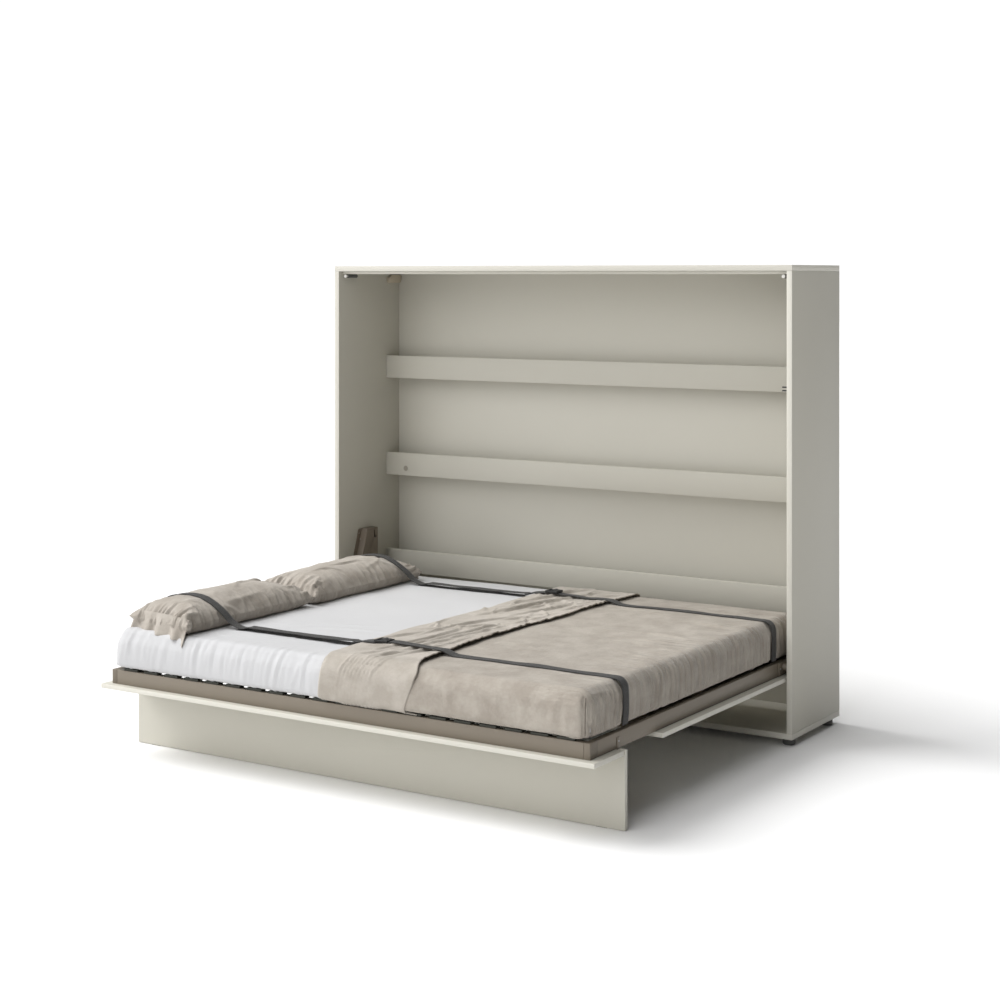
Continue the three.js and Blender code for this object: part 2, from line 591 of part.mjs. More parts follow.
// The blanket lies over the foot half and is tucked down round three sides. The turned-down
// band at its upper edge is one layer thicker.
function addBlanket() {
  const t = BLANKET_T;
  const coat = softBlock([-MATTRESS_HALF_L - t, MATTRESS_HALF_L + t],
    [MATTRESS_Y[0] - t, MATTRESS_Y[1] + t], [MATTRESS_Z[0] - t, BLANKET_TOP_Z], 68, BLANKET_EDGE);
  const core = softBlock([-MATTRESS_HALF_L - GAP, MATTRESS_HALF_L + GAP],
    [MATTRESS_Y[0] - GAP, MATTRESS_Y[1] + GAP], [MATTRESS_Z[0] - GAP, MATTRESS_Z[1] + GAP],
    60, MATTRESS_EDGE);
  const far = 3000;
  const cuts = [box([-far, BLANKET_X[0]], [-far, far], [0, far]),
    box([-far, far], [-far, far], [0, BLANKET_HEM_Z])];
  const band = box([BLANKET_X[0], BAND_END_X], [MATTRESS_Y[0] + 25, MATTRESS_Y[1] - 25],
    [BLANKET_TOP_Z - 2, BAND_TOP_Z]);
  put('blanket', join(cut(coat, core, ...cuts), band), VELVETY_CLOTH);
}

const PILLOW_X = [-995, -663];
const PILLOW_H = 116;
const PILLOW_YS = { pillow_near: [-1395, -665], pillow_far: [-655, 75] };
const PILLOW_Z = MATTRESS_Z[1] + 0.5;

// A plump rectangle: a sphere pushed outwards towards the corners of its box.
function addPillows() {
  const power = 0.62;
  const push = (value) => Math.sign(value) * Math.abs(value) ** power;
  for (const [name, [y0, y1]] of Object.entries(PILLOW_YS)) {
    const geometry = new THREE.SphereGeometry(1, 28, 14).rotateX(Math.PI / 2);
    const p = geometry.attributes.position;
    for (let i = 0; i < p.count; i += 1) {
      p.setXYZ(i, push(p.getX(i)), push(p.getY(i)), p.getZ(i));
    }
    geometry.scale((PILLOW_X[1] - PILLOW_X[0]) / 2, (y1 - y0) / 2, PILLOW_H / 2);
    const middleX = (PILLOW_X[0] + PILLOW_X[1]) / 2;
    geometry.translate(middleX, (y0 + y1) / 2, PILLOW_Z + PILLOW_H / 2);
    put(name, geometry, VELVETY_CLOTH);
  }
}

const STRAP_W = 40;
const STRAP_T = 2.5;
const STRAP_OFFSET = 577.5;

// The underside of a strap, from the left end of the frame over the pillow, the mattress
// and the blanket to the right end.
function strapRoute() {
  const left = -MATTRESS_HALF_L - 3.5;
  const right = BLANKET_X[1] + 2.2;
  const top = MATTRESS_Z[1] + 2;
  const rise = PILLOW_Z + PILLOW_H;
  const bend = BLANKET_EDGE + 2.2;
  const corner = [90, 67.5, 45, 22.5, 0].map((degrees) => {
    const angle = THREE.MathUtils.degToRad(degrees);
    return [right - bend + bend * Math.cos(angle),
      BLANKET_TOP_Z - BLANKET_EDGE + bend * Math.sin(angle)];
  });
  return [[left, FRAME_TOP_Z + 12], [left, top - 30], [left + 3, rise - 62], [left + 22, rise - 30],
    [left + 62, rise - 9], [left + 120, rise + 1.5], [-829, rise + 4], [-750, rise + 2],
    [-702, rise - 8], [-672, rise - 26], [-648, rise - 62], [-622, top + 12], [-600, top],
    [-60, top], [-46, BAND_TOP_Z + 1.5], [BAND_END_X + 4, BAND_TOP_Z + 1.5],
    [BAND_END_X + 20, BLANKET_TOP_Z + 2.2], ...corner, [right, FRAME_TOP_Z + 12]];
}

// The same route, moved outwards by the thickness of the webbing.
function offsetRoute(points, distance) {
  return points.map(([x, z], i) => {
    const [ax, az] = points[Math.max(i - 1, 0)];
    const [bx, bz] = points[Math.min(i + 1, points.length - 1)];
    const length = Math.hypot(bx - ax, bz - az);
    return [x - (bz - az) / length * distance, z + (bx - ax) / length * distance];
  });
}

function addStraps() {
  const under = strapRoute();
  const outline = [...under, ...offsetRoute(under, STRAP_T).reverse()];
  const buckleX = [28, 84];
  const buckleT = 9;
  for (const [word, sign] of Object.entries({ front: -1, rear: 1 })) {
    const y = FRAME_MID_Y + sign * STRAP_OFFSET;
    const ys = [y - STRAP_W / 2, y + STRAP_W / 2];
    put(`strap_${word}`, profileAlongY(outline, ys), WEBBING);
    const z0 = BAND_TOP_Z + 1.5 + STRAP_T + GAP;
    const frame = box(buckleX, [ys[0] - 4, ys[1] + 4], [z0, z0 + buckleT]);
    const windows = [[34, 52], [60, 78]].map((xs) => box(xs, ys, [z0 - 5, z0 + 20]));
    put(`strap_buckle_${word}`, cut(frame, ...windows), BLACK_PLASTIC);
  }
}

// ---- assembly ----------------------------------------------------------------------

addCarcass();
addFeet();
addWallHangers();
addLatchKeeper();
addRailCap();
addDampers();
addPivotBrackets();
addMechanismCovers();
addPivotPlates();
addGasSprings();
addFrameRails();
addCornerConnectors();
addSlats();
addSlatHolders();
addFrontBoards();
addLegHinges();
addLeg();
addMattress();
addBlanket();
addPillows();
addStraps();

export default wallBed;
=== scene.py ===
"""Horizontal murphy wall bed, open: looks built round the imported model. Metres, +Z up, the
cabinet's back towards +Y, the open bed lying towards -Y."""

import json
import math

import bmesh
import bpy
import numpy as np
from mathutils import Matrix, Vector, noise
from mathutils.bvhtree import BVHTree


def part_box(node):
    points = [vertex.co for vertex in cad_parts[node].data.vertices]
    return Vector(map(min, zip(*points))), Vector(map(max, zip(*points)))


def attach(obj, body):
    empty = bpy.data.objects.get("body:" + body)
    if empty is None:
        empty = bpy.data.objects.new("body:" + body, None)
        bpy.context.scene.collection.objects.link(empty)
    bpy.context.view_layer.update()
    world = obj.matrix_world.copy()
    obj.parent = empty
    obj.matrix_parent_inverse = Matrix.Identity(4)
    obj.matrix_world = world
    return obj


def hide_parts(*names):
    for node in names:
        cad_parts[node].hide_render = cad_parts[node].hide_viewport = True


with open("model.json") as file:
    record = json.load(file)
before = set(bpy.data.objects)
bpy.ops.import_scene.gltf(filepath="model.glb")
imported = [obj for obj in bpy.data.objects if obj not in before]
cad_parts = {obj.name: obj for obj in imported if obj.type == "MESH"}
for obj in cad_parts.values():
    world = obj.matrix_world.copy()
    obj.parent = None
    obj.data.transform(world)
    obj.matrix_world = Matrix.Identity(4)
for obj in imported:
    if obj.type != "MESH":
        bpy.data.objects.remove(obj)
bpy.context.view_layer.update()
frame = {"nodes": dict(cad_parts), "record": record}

# ---- studio ------------------------------------------------------------------------
# A plain pale floor, a dim even sky with a white rim along the horizon, a wide soft key
# light from the left and weaker ones from above and from the front. The camera stands at
# the right front.

camera_data = bpy.data.cameras.new("camera")
camera_data.lens = 66.58
camera_data.sensor_width = 36
camera_data.shift_y = -0.2254
camera_data.clip_end = 400
camera = bpy.data.objects.new("camera", camera_data)
camera.location = (3.8755, -5.9234, 1.7706)
camera.rotation_euler = (math.radians(90), 0, math.radians(32.56))
bpy.context.scene.collection.objects.link(camera)
bpy.context.scene.camera = camera
bpy.context.scene.view_settings.view_transform = "Standard"


class Wire:
    """A value on its way between two nodes. Sums and products of wires add Math nodes."""

    def __init__(self, finish, socket):
        self.finish = finish
        self.socket = socket

    def _math(self, operation, first, second):
        return self.finish.node("ShaderNodeMath", {"operation": operation}, {0: first, 1: second})

    def __add__(self, other):
        return self._math("ADD", self, other)

    __radd__ = __add__

    def __mul__(self, other):
        return self._math("MULTIPLY", self, other)

    __rmul__ = __mul__


class Finish:
    """A Principled material. node() adds any other node, set up first and then wired."""

    def __init__(self, name, tree=None):
        if tree is None:
            self.material = bpy.data.materials.new(name)
            self.material.use_nodes = True
            tree = self.material.node_tree
        self.tree = tree

    def node(self, kind, settings=None, sockets=None, output=0):
        made = self.tree.nodes.new(kind)
        for name, value in (settings or {}).items():
            setattr(made, name, value)
        self.plug(made, sockets or {})
        return Wire(self, made.outputs[output])

    def plug(self, node, sockets):
        for name, value in sockets.items():
            if isinstance(value, Wire):
                self.tree.links.new(value.socket, node.inputs[name])
            else:
                node.inputs[name].default_value = value

    def place(self, scale=(1, 1, 1)):
        """Object coordinates in metres, stretched by scale."""
        coords = self.node("ShaderNodeTexCoord", output="Object")
        if scale == (1, 1, 1):
            return coords
        return self.node("ShaderNodeMapping", None, {"Vector": coords, "Scale": scale})

    def noise(self, scale, detail=3, roughness=0.5, vector=None):
        return self.node("ShaderNodeTexNoise", None, {"Scale": scale, "Detail": detail,
                         "Roughness": roughness, "Vector": vector or self.place()})

    def mix(self, share, first, second):
        return self.node("ShaderNodeMix", {"data_type": "RGBA"}, {0: share, 6: first, 7: second},
                         output=2)

    def bump(self, height, distance, strength=1.0, normal=None):
        sockets = {"Height": height, "Distance": distance, "Strength": strength}
        if normal is not None:
            sockets["Normal"] = normal
        return self.node("ShaderNodeBump", None, sockets)

    def surface(self, sockets):
        self.plug(self.tree.nodes["Principled BSDF"], sockets)
        return self.material


def colour(red, green, blue):
    """A Base Color from 0-255 sRGB values."""
    linear = [((c / 255 + 0.055) / 1.055) ** 2.4 for c in (red, green, blue)]
    return (*linear, 1.0)


def scaled(tone, by):
    """The same colour, lighter or darker."""
    return (*(min(1, c * by) for c in tone[:3]), 1)


def floor_finish():
    finish = Finish("studio_floor")
    shade = finish.noise(0.8, 2)
    tone = finish.mix(shade, (0.90, 0.90, 0.90, 1), (0.93, 0.93, 0.93, 1))
    return finish.surface({"Base Color": tone, "Roughness": 0.9, "Specular IOR Level": 0.1})


FLOOR_HALF = 60
floor_shape = bmesh.new()
bmesh.ops.create_grid(floor_shape, x_segments=2, y_segments=2, size=FLOOR_HALF)
floor_mesh = bpy.data.meshes.new("floor")
floor_shape.to_mesh(floor_mesh)
floor_mesh.materials.append(floor_finish())
floor = bpy.data.objects.new("floor", floor_mesh)
bpy.context.scene.collection.objects.link(floor)

sky = bpy.data.worlds.new("studio_sky")
bpy.context.scene.world = sky
sky.use_nodes = True
sky_nodes = Finish("studio_sky", sky.node_tree)
outlook = sky_nodes.node("ShaderNodeTexCoord", output="Generated")
upward = sky_nodes.node("ShaderNodeSeparateXYZ", None, {0: outlook}, output="Z")
rightward = sky_nodes.node("ShaderNodeSeparateXYZ", None, {0: outlook}, output="X")
SKY_LOW = 1.05
SKY_HIGH = 0.40
SKY_RIGHT = 0.12
level = sky_nodes.node("ShaderNodeMapRange", {"interpolation_type": "SMOOTHSTEP"}, {
    "Value": upward, "From Min": 0.15, "From Max": 0.22, "To Min": SKY_LOW, "To Max": SKY_HIGH})
dimmed = sky_nodes.node("ShaderNodeMapRange", {"interpolation_type": "SMOOTHSTEP"}, {
    "Value": rightward, "From Min": -0.10, "From Max": 0.35, "To Min": 1.0, "To Max": SKY_RIGHT})
sky_nodes.plug(sky.node_tree.nodes["Background"], {"Color": (1, 1, 1, 1), "Strength": level * dimmed})


def soft_sun(name, strength, direction, spread):
    """An even light from far away that shines along direction, with edges as soft as spread."""
    data = bpy.data.lights.new(name, "SUN")
    data.energy = strength
    data.angle = math.radians(spread)
    light = bpy.data.objects.new(name, data)
    light.rotation_euler = Vector(direction).to_track_quat("-Z", "Y").to_euler()
    bpy.context.scene.collection.objects.link(light)


soft_sun("key_light", 2.7, (0.85, 0.2, -1.0), 42)
soft_sun("top_light", 0.8, (0.15, 0.1, -1.0), 60)
soft_sun("fill_light", 1.1, (0.1, 1.0, -0.6), 50)

# ---- cabinet boards ------------------------------------------------------------------
# Chipboard faced on both sides with a matt cashmere laminate and edged with 1 mm banding.
# The 22 mm carcass is doweled and screwed; the rails and front boards are 16 mm.

node_body = {}
for body_name, members in frame["record"]["behaviour"]["bodies"].items():
    for member in members:
        node_body[member] = body_name

CASHMERE = colour(194, 191, 180)
CASHMERE_BAND = colour(209, 206, 196)


def laminate(name, tone):
    finish = Finish(name)
    cloud = finish.noise(3.0, 3)
    grain = finish.noise(900, 2)
    return finish.surface({
        "Base Color": finish.mix(cloud * 0.6 + grain * 0.25, scaled(tone, 0.965), tone),
        "Roughness": 0.46 + 0.12 * grain,
        "Specular IOR Level": 0.35,
        "Normal": finish.bump(finish.noise(650, 3), 0.00012, 0.35),
    })


laminate_face = laminate("cashmere_laminate", CASHMERE)
laminate_band = laminate("cashmere_edge_band", CASHMERE_BAND)


def finished(name, shape, materials, body, nodes=(), smooth_below=40):
    """Turns a bmesh into a piece that rides on its body, shaded smooth below that angle."""
    mesh = bpy.data.meshes.new(name)
    shape.to_mesh(mesh)
    shape.free()
    for material in materials:
        mesh.materials.append(material)
    mesh.polygons.foreach_set("use_smooth", [True] * len(mesh.polygons))
    mesh.set_sharp_from_angle(angle=math.radians(smooth_below))
    piece = bpy.data.objects.new(name, mesh)
    bpy.context.scene.collection.objects.link(piece)
    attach(piece, body)
    if nodes:
        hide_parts(*nodes)
    return piece


def rounded(shape, edges, width, segments=2):
    """Bevels the edges to an arc of that width."""
    bmesh.ops.bevel(shape, geom=edges, offset=width, offset_type="OFFSET", segments=segments,
                    profile=0.5, affect="EDGES", material=-1, clamp_overlap=True)


def block(low, high):
    """A box between two corners."""
    shape = bmesh.new()
    bmesh.ops.create_cube(shape, size=1)
    bmesh.ops.scale(shape, vec=Vector(high) - Vector(low), verts=shape.verts)
    bmesh.ops.translate(shape, vec=(Vector(high) + Vector(low)) / 2, verts=shape.verts)
    return shape


def band_edges(shape, low, high):
    """Faces that look along the board get the laminate, and the narrow ones the banding."""
    size = [high[k] - low[k] for k in range(3)]
    thin = size.index(min(size))
    for face in shape.faces:
        face.material_index = 0 if abs(face.normal[thin]) > 0.9 else 1


BAND_RADIUS = 0.0009


def board(node):
    """A banded board in place of a plain CAD one."""
    low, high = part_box(node)
    shape = block(low, high)
    rounded(shape, shape.edges[:], BAND_RADIUS)
    band_edges(shape, low, high)
    return finished(f"{node}_board", shape, [laminate_face, laminate_band], node_body[node],
                    [node], 30)


for node in ("side_panel_left", "side_panel_right", "top_panel", "bottom_panel", "upper_rail",
             "middle_rail", "lower_rail", "top_stop_strip", "front_strip", "main_front_panel"):
    board(node)


def softened(node, width, segments=2, sharp=28):
    """A copy of a CAD node with its faces merged and its sharp edges rounded."""
    shape = bmesh.new()
    shape.from_mesh(frame["nodes"][node].data)
    bmesh.ops.remove_doubles(shape, verts=shape.verts, dist=1e-5)
    bmesh.ops.dissolve_limit(shape, angle_limit=math.radians(1), verts=shape.verts,
                             edges=shape.edges)
    edges = [e for e in shape.edges if e.is_manifold and e.calc_face_angle() > math.radians(sharp)]
    rounded(shape, edges, width, segments)
    return shape


def fitting(node, name, width, material):
    """A softened copy of a CAD node, which rides on the node's own body."""
    finished(name, softened(node, width), [material], node_body[node], [node])


# The leg is slotted for its hinge plates, so its outline comes from the model.
leg_shape = softened("leg_panel", BAND_RADIUS)
band_edges(leg_shape, *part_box("leg_panel"))
finished("leg_board", leg_shape, [laminate_face, laminate_band], "leg",
         ["leg_panel"], 30)

# ---- back panel ----------------------------------------------------------------------
# 4 mm high-density board, lacquered to match, held in the carcass behind the rails.

hardboard_finish = laminate("lacquered_hardboard", colour(206, 203, 192))
fitting("back_panel", "back_board", 0.0004, hardboard_finish)

# ---- bed frame -----------------------------------------------------------------------
# Rectangular steel tube, powder coated taupe, pushed on to moulded nylon corner pieces.
# Plates on its ends carry the pivot hubs and the leg's hinges.

TAUPE = colour(121, 112, 99)


def powder_coat(name, tone, roughness=0.42):
    finish = Finish(name)
    peel = finish.noise(420, 2)
    cloud = finish.noise(5, 2)
    return finish.surface({
        "Base Color": finish.mix(cloud * 0.7 + 0.3 * peel, tone, scaled(tone, 1.08)),
        "Roughness": roughness + 0.12 * peel,
        "Metallic": 0.0,
        "Specular IOR Level": 0.5,
        "Normal": finish.bump(peel, 0.00025, 0.5),
    })


def moulded(name, tone, roughness=0.45, grain=1400):
    finish = Finish(name)
    texture = finish.noise(grain, 2)
    flow = finish.noise(12, 2)
    return finish.surface({
        "Base Color": finish.mix(flow, scaled(tone, 0.88), tone),
        "Roughness": roughness + 0.15 * texture,
        "Specular IOR Level": 0.45,
        "Normal": finish.bump(texture, 0.0001, 0.6),
    })


taupe_coat = powder_coat("taupe_powder_coat", TAUPE)
taupe_nylon = moulded("taupe_nylon", colour(117, 108, 95))

for node in ("bed_frame_front_rail", "bed_frame_rear_rail", "bed_frame_left_rail",
             "bed_frame_right_rail", "bed_frame_centre_rail"):
    fitting(node, f"{node}_tube", 0.0012, taupe_coat)
for end in ("front", "rear"):
    for side in ("left", "right"):
        node = f"frame_corner_{end}_{side}"
        fitting(node, f"{node}_moulding", 0.0012, taupe_nylon)

# ---- slats and their pockets ---------------------------------------------------------
# Sprung beech slats, seven veneers glued in a press, with their ends in soft pockets that
# clip on to the long rails. Two tapes keep each row at its spacing.


def beech_finish():
    finish = Finish("beech_veneer")
    fibre = finish.noise(60, 5, 0.6, finish.place((9, 0.6, 9)))
    pores = finish.noise(700, 2, 0.5, finish.place((1, 0.05, 1)))
    wood = finish.mix(fibre, colour(186, 146, 98), colour(218, 184, 138))
    return finish.surface({
        "Base Color": finish.mix(pores * 0.35, wood, colour(150, 108, 66)),
        "Roughness": 0.38 + 0.2 * fibre,
        "Coat Weight": 0.25,
        "Normal": finish.bump(pores, 0.0001, 0.5),
    })


beech = beech_finish()
pocket_rubber = moulded("pocket_rubber", colour(52, 52, 44), 0.55)
for row in ("front", "rear"):
    fitting(f"slats_{row}", f"slats_{row}_row", 0.0012, beech)
    fitting(f"slat_holders_{row}", f"slat_pockets_{row}", 0.001, pocket_rubber)

# ---- screws --------------------------------------------------------------------------
# Pan-headed steel screws with a six-sided socket, used on every bracket and plate.


def steel_finish(name, tone, roughness):
    finish = Finish(name)
    brushed = finish.noise(900, 2, 0.5, finish.place((1, 1, 0.1)))
    return finish.surface({
        "Base Color": finish.mix(brushed, scaled(tone, 0.85), tone),
        "Metallic": 1.0,
        "Roughness": roughness + 0.12 * brushed,
        "Normal": finish.bump(brushed, 0.00005, 0.4),
    })


zinc = steel_finish("bright_zinc", colour(190, 191, 193), 0.24)


def screw_head(name, body, place, axis, radius, height):
    """place is the middle of the head's seat, and axis the way it faces."""
    shape = bmesh.new()
    bmesh.ops.create_cone(shape, cap_ends=True, segments=24, radius1=radius, radius2=radius,
                          depth=height)
    bmesh.ops.translate(shape, vec=(0, 0, height / 2), verts=shape.verts)
    rim = [e for e in shape.edges if all(v.co.z > height * 0.9 for v in e.verts)]
    rounded(shape, rim, height * 0.45, 3)
    top = max(shape.faces, key=lambda f: f.calc_center_median().z)
    bmesh.ops.inset_individual(shape, faces=[top], thickness=radius * 0.25)
    bmesh.ops.translate(shape, vec=(0, 0, -height * 0.5), verts=top.verts[:])
    turn = Vector((0, 0, 1)).rotation_difference(Vector(axis)).to_matrix().to_4x4()
    bmesh.ops.transform(shape, matrix=Matrix.Translation(Vector(place)) @ turn, verts=shape.verts)
    finished(name, shape, [zinc], body)


# ---- pivots, covers and gas springs --------------------------------------------------
# Folded steel covers hide the gas springs on both side panels. The springs' chromed rods
# run in black-painted cylinders. The pivot brackets are screwed through the side panels.

cover_coat = powder_coat("cover_powder_coat", colour(118, 107, 93), 0.38)
black_paint = powder_coat("black_paint", colour(30, 31, 33), 0.3)
chrome = steel_finish("chromed_rod", colour(205, 206, 208), 0.08)
for side in ("left", "right"):
    fitting(f"mechanism_cover_{side}", f"mechanism_cover_{side}_sheet", 0.0008, cover_coat)
    fitting(f"pivot_bracket_{side}", f"pivot_bracket_{side}_plate", 0.0006, taupe_coat)
    fitting(f"bed_pivot_plate_{side}", f"bed_pivot_{side}_plate", 0.0006, taupe_coat)
    fitting(f"gas_spring_cylinder_{side}", f"gas_cylinder_{side}_tube", 0.0008, black_paint)
    fitting(f"gas_spring_rod_{side}", f"gas_rod_{side}_steel", 0.0005, chrome)
    fitting(f"leg_hinge_bracket_{side}", f"leg_hinge_{side}_plate", 0.0004, taupe_coat)

# ---- small fittings of the cabinet ---------------------------------------------------
# Adjustable wall brackets, soft-close dampers, the latch's keeper, a screw cap and the
# four levelling feet: moulded parts, pressed or screwed on.

beige_nylon = moulded("beige_nylon", colour(186, 175, 155))
graphite_nylon = moulded("graphite_nylon", colour(88, 88, 86), 0.5)
black_nylon = moulded("black_nylon", colour(34, 34, 35), 0.4)
white_nylon = moulded("white_nylon", colour(232, 230, 224), 0.4)
cap_nylon = moulded("cap_nylon", colour(152, 146, 134), 0.45)
for side in ("left", "right"):
    fitting(f"wall_hanger_{side}", f"wall_hanger_{side}_body", 0.0015, beige_nylon)
    fitting(f"damper_body_{side}", f"damper_{side}_body", 0.0006, graphite_nylon)
    fitting(f"damper_plunger_{side}", f"damper_{side}_plunger", 0.0006, white_nylon)
    for end in ("front", "rear"):
        node = f"levelling_foot_{end}_{side}"
        fitting(node, f"{node}_moulding", 0.0008, graphite_nylon)
fitting("latch_keeper", "latch_keeper_body", 0.0008, black_nylon)
fitting("rail_screw_cap", "rail_screw_cap_body", 0.0004, cap_nylon)


def felt_finish():
    finish = Finish("grey_felt")
    fibres = finish.noise(1500, 4, 0.7)
    return finish.surface({
        "Base Color": finish.mix(fibres, colour(84, 79, 71), colour(122, 116, 106)),
        "Roughness": 0.95,
        "Normal": finish.bump(fibres, 0.0006, 0.9),
    })


felt = felt_finish()
for side in ("left", "right"):
    fitting(f"leg_pad_{side}", f"leg_felt_{side}", 0.0003, felt)

# ---- mattress in its fitted sheet ----------------------------------------------------
# A foam mattress, 1.6 x 2 m, in a white cotton sheet with an elastic hem. The elastic pulls
# upright wrinkles into the sides, and the sides bulge a little past the frame.


def gridded(low, high, steps):
    """A box cut into a grid, with about that step along each axis."""
    shape = block(low, high)
    size = Vector(high) - Vector(low)
    for axis in range(3):
        along = [e for e in shape.edges
                 if abs(e.verts[0].co[axis] - e.verts[1].co[axis]) > size[axis] / 2]
        cuts = max(1, round(size[axis] / steps[axis])) - 1
        if cuts:
            bmesh.ops.subdivide_edges(shape, edges=along, cuts=cuts)
    return shape


def read_points(shape):
    return np.array([v.co for v in shape.verts])


def move_points(shape, points):
    for vert, point in zip(shape.verts, points):
        vert.co = point


class Wrap:
    """Cloth wrapped round a block: each point's place, its outward direction, and its place
    (u, v) on the flat cloth, where u runs along the bed and v across it. The rounding is
    that of the upright, the upper and the lower edges."""

    def __init__(self, points, low, high, rounding, bulge):
        upright, upper, lower = rounding
        middle, half = (high + low) / 2, (high - low) / 2
        flat = points - middle
        radii = np.ones_like(flat) * (upright, upright, lower)
        radii[flat[:, 2] > 0, 2] = upper
        core = np.clip(flat, radii - half, half - radii)
        out = (flat - core) / radii
        out /= np.linalg.norm(out, axis=1, keepdims=True)
        self.out = out
        self.side = np.clip(np.linalg.norm(out[:, :2], axis=1), 0, 1)
        swell = bulge * (1 - ((flat[:, 2] / half[2] + 0.35) / 1.35) ** 2)[:, None]
        self.place = core + out * radii + middle
        self.place[:, :2] += out[:, :2] * swell * (0.3, 1.0)
        drop = half[2] - flat[:, 2]
        below_top = flat[:, 2] < half[2] - 1e-6
        ends = (np.abs(flat[:, 0]) > half[0] - 1e-6) & below_top
        flanks = (np.abs(flat[:, 1]) > half[1] - 1e-6) & below_top
        self.u = points[:, 0] + np.where(ends, np.sign(flat[:, 0]) * drop, 0)
        self.v = points[:, 1] + np.where(flanks & ~ends, np.sign(flat[:, 1]) * drop, 0)

    def lift(self, height):
        self.place = self.place + self.out * np.asarray(height)[:, None]


def ridges(u, v, lines):
    """Soft ridges with a hollow beside each. A line is (u0, v0, u1, v1, width, height, bow)."""
    total = np.zeros_like(u)
    for u0, v0, u1, v1, width, height, bow in lines:
        length = math.hypot(u1 - u0, v1 - v0)
        along = ((u - u0) * (u1 - u0) + (v - v0) * (v1 - v0)) / length ** 2
        share = np.clip(along, 0, 1)
        across = ((u - u0) * (v1 - v0) - (v - v0) * (u1 - u0)) / length
        across = across - bow * 4 * share * (1 - share)
        beyond = (along - share) * length / (2 * width)
        fade = np.exp(-beyond ** 2) * (0.35 + 0.65 * np.sin(math.pi * share))
        crest = np.exp(-(across / width) ** 2)
        hollow = np.exp(-((across - 1.7 * width) / (1.3 * width)) ** 2)
        total += height * fade * (crest - 0.5 * hollow)
    return total


def uneven(points, scale, height, seed=0.0, octaves=3):
    """Gentle unevenness of a surface, up to about height."""
    return height * np.array([
        noise.fractal(Vector(p) * scale + Vector((seed, 0, -seed)), 0.8, 2.0, octaves)
        for p in points])


SHEET_GRID = (0.0085, 0.0095, 0.011)
MATTRESS_ROUNDING = (0.036, 0.056, 0.012)
MATTRESS_H = 0.142
MATTRESS_SWELL = 0.013
OPEN_UNTIL_X = 0.02
STRAP_PRESS_HALF = 0.028
POCKET_PITCH = 0.0976
mattress_low, mattress_high = (np.array(corner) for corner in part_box("mattress"))
strap_ys = {}
for strap in ("strap_front", "strap_rear"):
    strap_ys[strap] = (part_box(strap)[0].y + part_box(strap)[1].y) / 2


def under_straps(points):
    """1 where a strap presses on the bedding, and 0 away from both."""
    return [np.exp(-((points[:, 1] - strap_y) / STRAP_PRESS_HALF) ** 4)
            for strap_y in strap_ys.values()]


sheet_shape = gridded(mattress_low, mattress_high, SHEET_GRID)
sheet_points = read_points(sheet_shape)
sheet_wrap = Wrap(sheet_points, mattress_low, mattress_high, MATTRESS_ROUNDING, 0.0)
draw = np.random.default_rng(4)
side_lines = []
for k in range(62):
    x = -0.99 + 0.0165 * k + draw.normal(0, 0.006)
    lean = draw.normal(0, 0.012)
    low_v, high_v = mattress_low[1] - 0.15, mattress_low[1] + draw.uniform(-0.02, 0.10)
    side_lines.append((x, low_v, x + lean + 0.02, high_v, draw.uniform(0.004, 0.009),
                       draw.uniform(0.0010, 0.0028), draw.normal(0, 0.006)))
for k in range(26):
    y = mattress_low[1] + 0.03 + 0.06 * k + draw.normal(0, 0.012)
    u = mattress_low[0]
    side_lines.append((u - 0.15, y, u + draw.uniform(0, 0.09), y + draw.normal(0, 0.02),
                       draw.uniform(0.005, 0.010), draw.uniform(0.0012, 0.0040), 0.0))
for k in range(16):
    x, y = draw.uniform(-0.62, -0.08), draw.uniform(-0.86, -0.45)
    reach = draw.uniform(0.10, 0.26)
    side_lines.append((x, y, x + reach, y + reach * draw.uniform(0.25, 0.6),
                       draw.uniform(0.007, 0.012), draw.uniform(0.0010, 0.0026), draw.normal(0, 0.01)))
sheet_wrap.lift(ridges(sheet_wrap.u, sheet_wrap.v, side_lines))
sheet_wrap.lift(uneven(sheet_wrap.place, 2.3, 0.0028, 3.0) * (sheet_wrap.out[:, 2] > -0.5))
# The open part swells past the frame. Under the blanket the mattress is drawn in.
level_in = (sheet_points[:, 2] - mattress_low[2]) / MATTRESS_H * 2
swell = MATTRESS_SWELL * (1 - 0.7 * (level_in - 0.45) ** 2)
open_part = np.clip((OPEN_UNTIL_X - sheet_points[:, 0]) / 0.05, 0, 1)
for squeezed in under_straps(sheet_points):
    swell = swell * (1 - squeezed * (sheet_wrap.out[:, 0] < -0.3))
swelled = (np.clip(swell, -0.002, 1) * open_part)[:, None] * (0.55, 1.0)
sheet_wrap.place[:, :2] += sheet_wrap.out[:, :2] * swelled
sheet_wrap.place[:, :2] -= sheet_wrap.out[:, :2] * (0.004 * (1 - open_part))[:, None]
# The sheet sags a little between the slat pockets along the near edge.
phase = (sheet_wrap.place[:, 0] / POCKET_PITCH + 0.02) % 1.0 - 0.5
near = np.exp(-((sheet_wrap.place[:, 1] - mattress_low[1] - 0.010) / 0.014) ** 2)
sag = 0.005 * np.exp(-(phase / 0.055) ** 2) * near * (sheet_wrap.out[:, 2] < -0.3)
sheet_wrap.place[:, 2] -= sag
from_end = mattress_high[0] - np.abs(sheet_points[:, 0])
inside = np.minimum(from_end, sheet_points[:, 1] - mattress_low[1])
at_foot = sheet_points[:, 2] < mattress_low[2] + 0.02
sheet_wrap.place[:, 2] -= 0.0015 * np.exp(-(inside / 0.014) ** 2) * at_foot
move_points(sheet_shape, sheet_wrap.place)


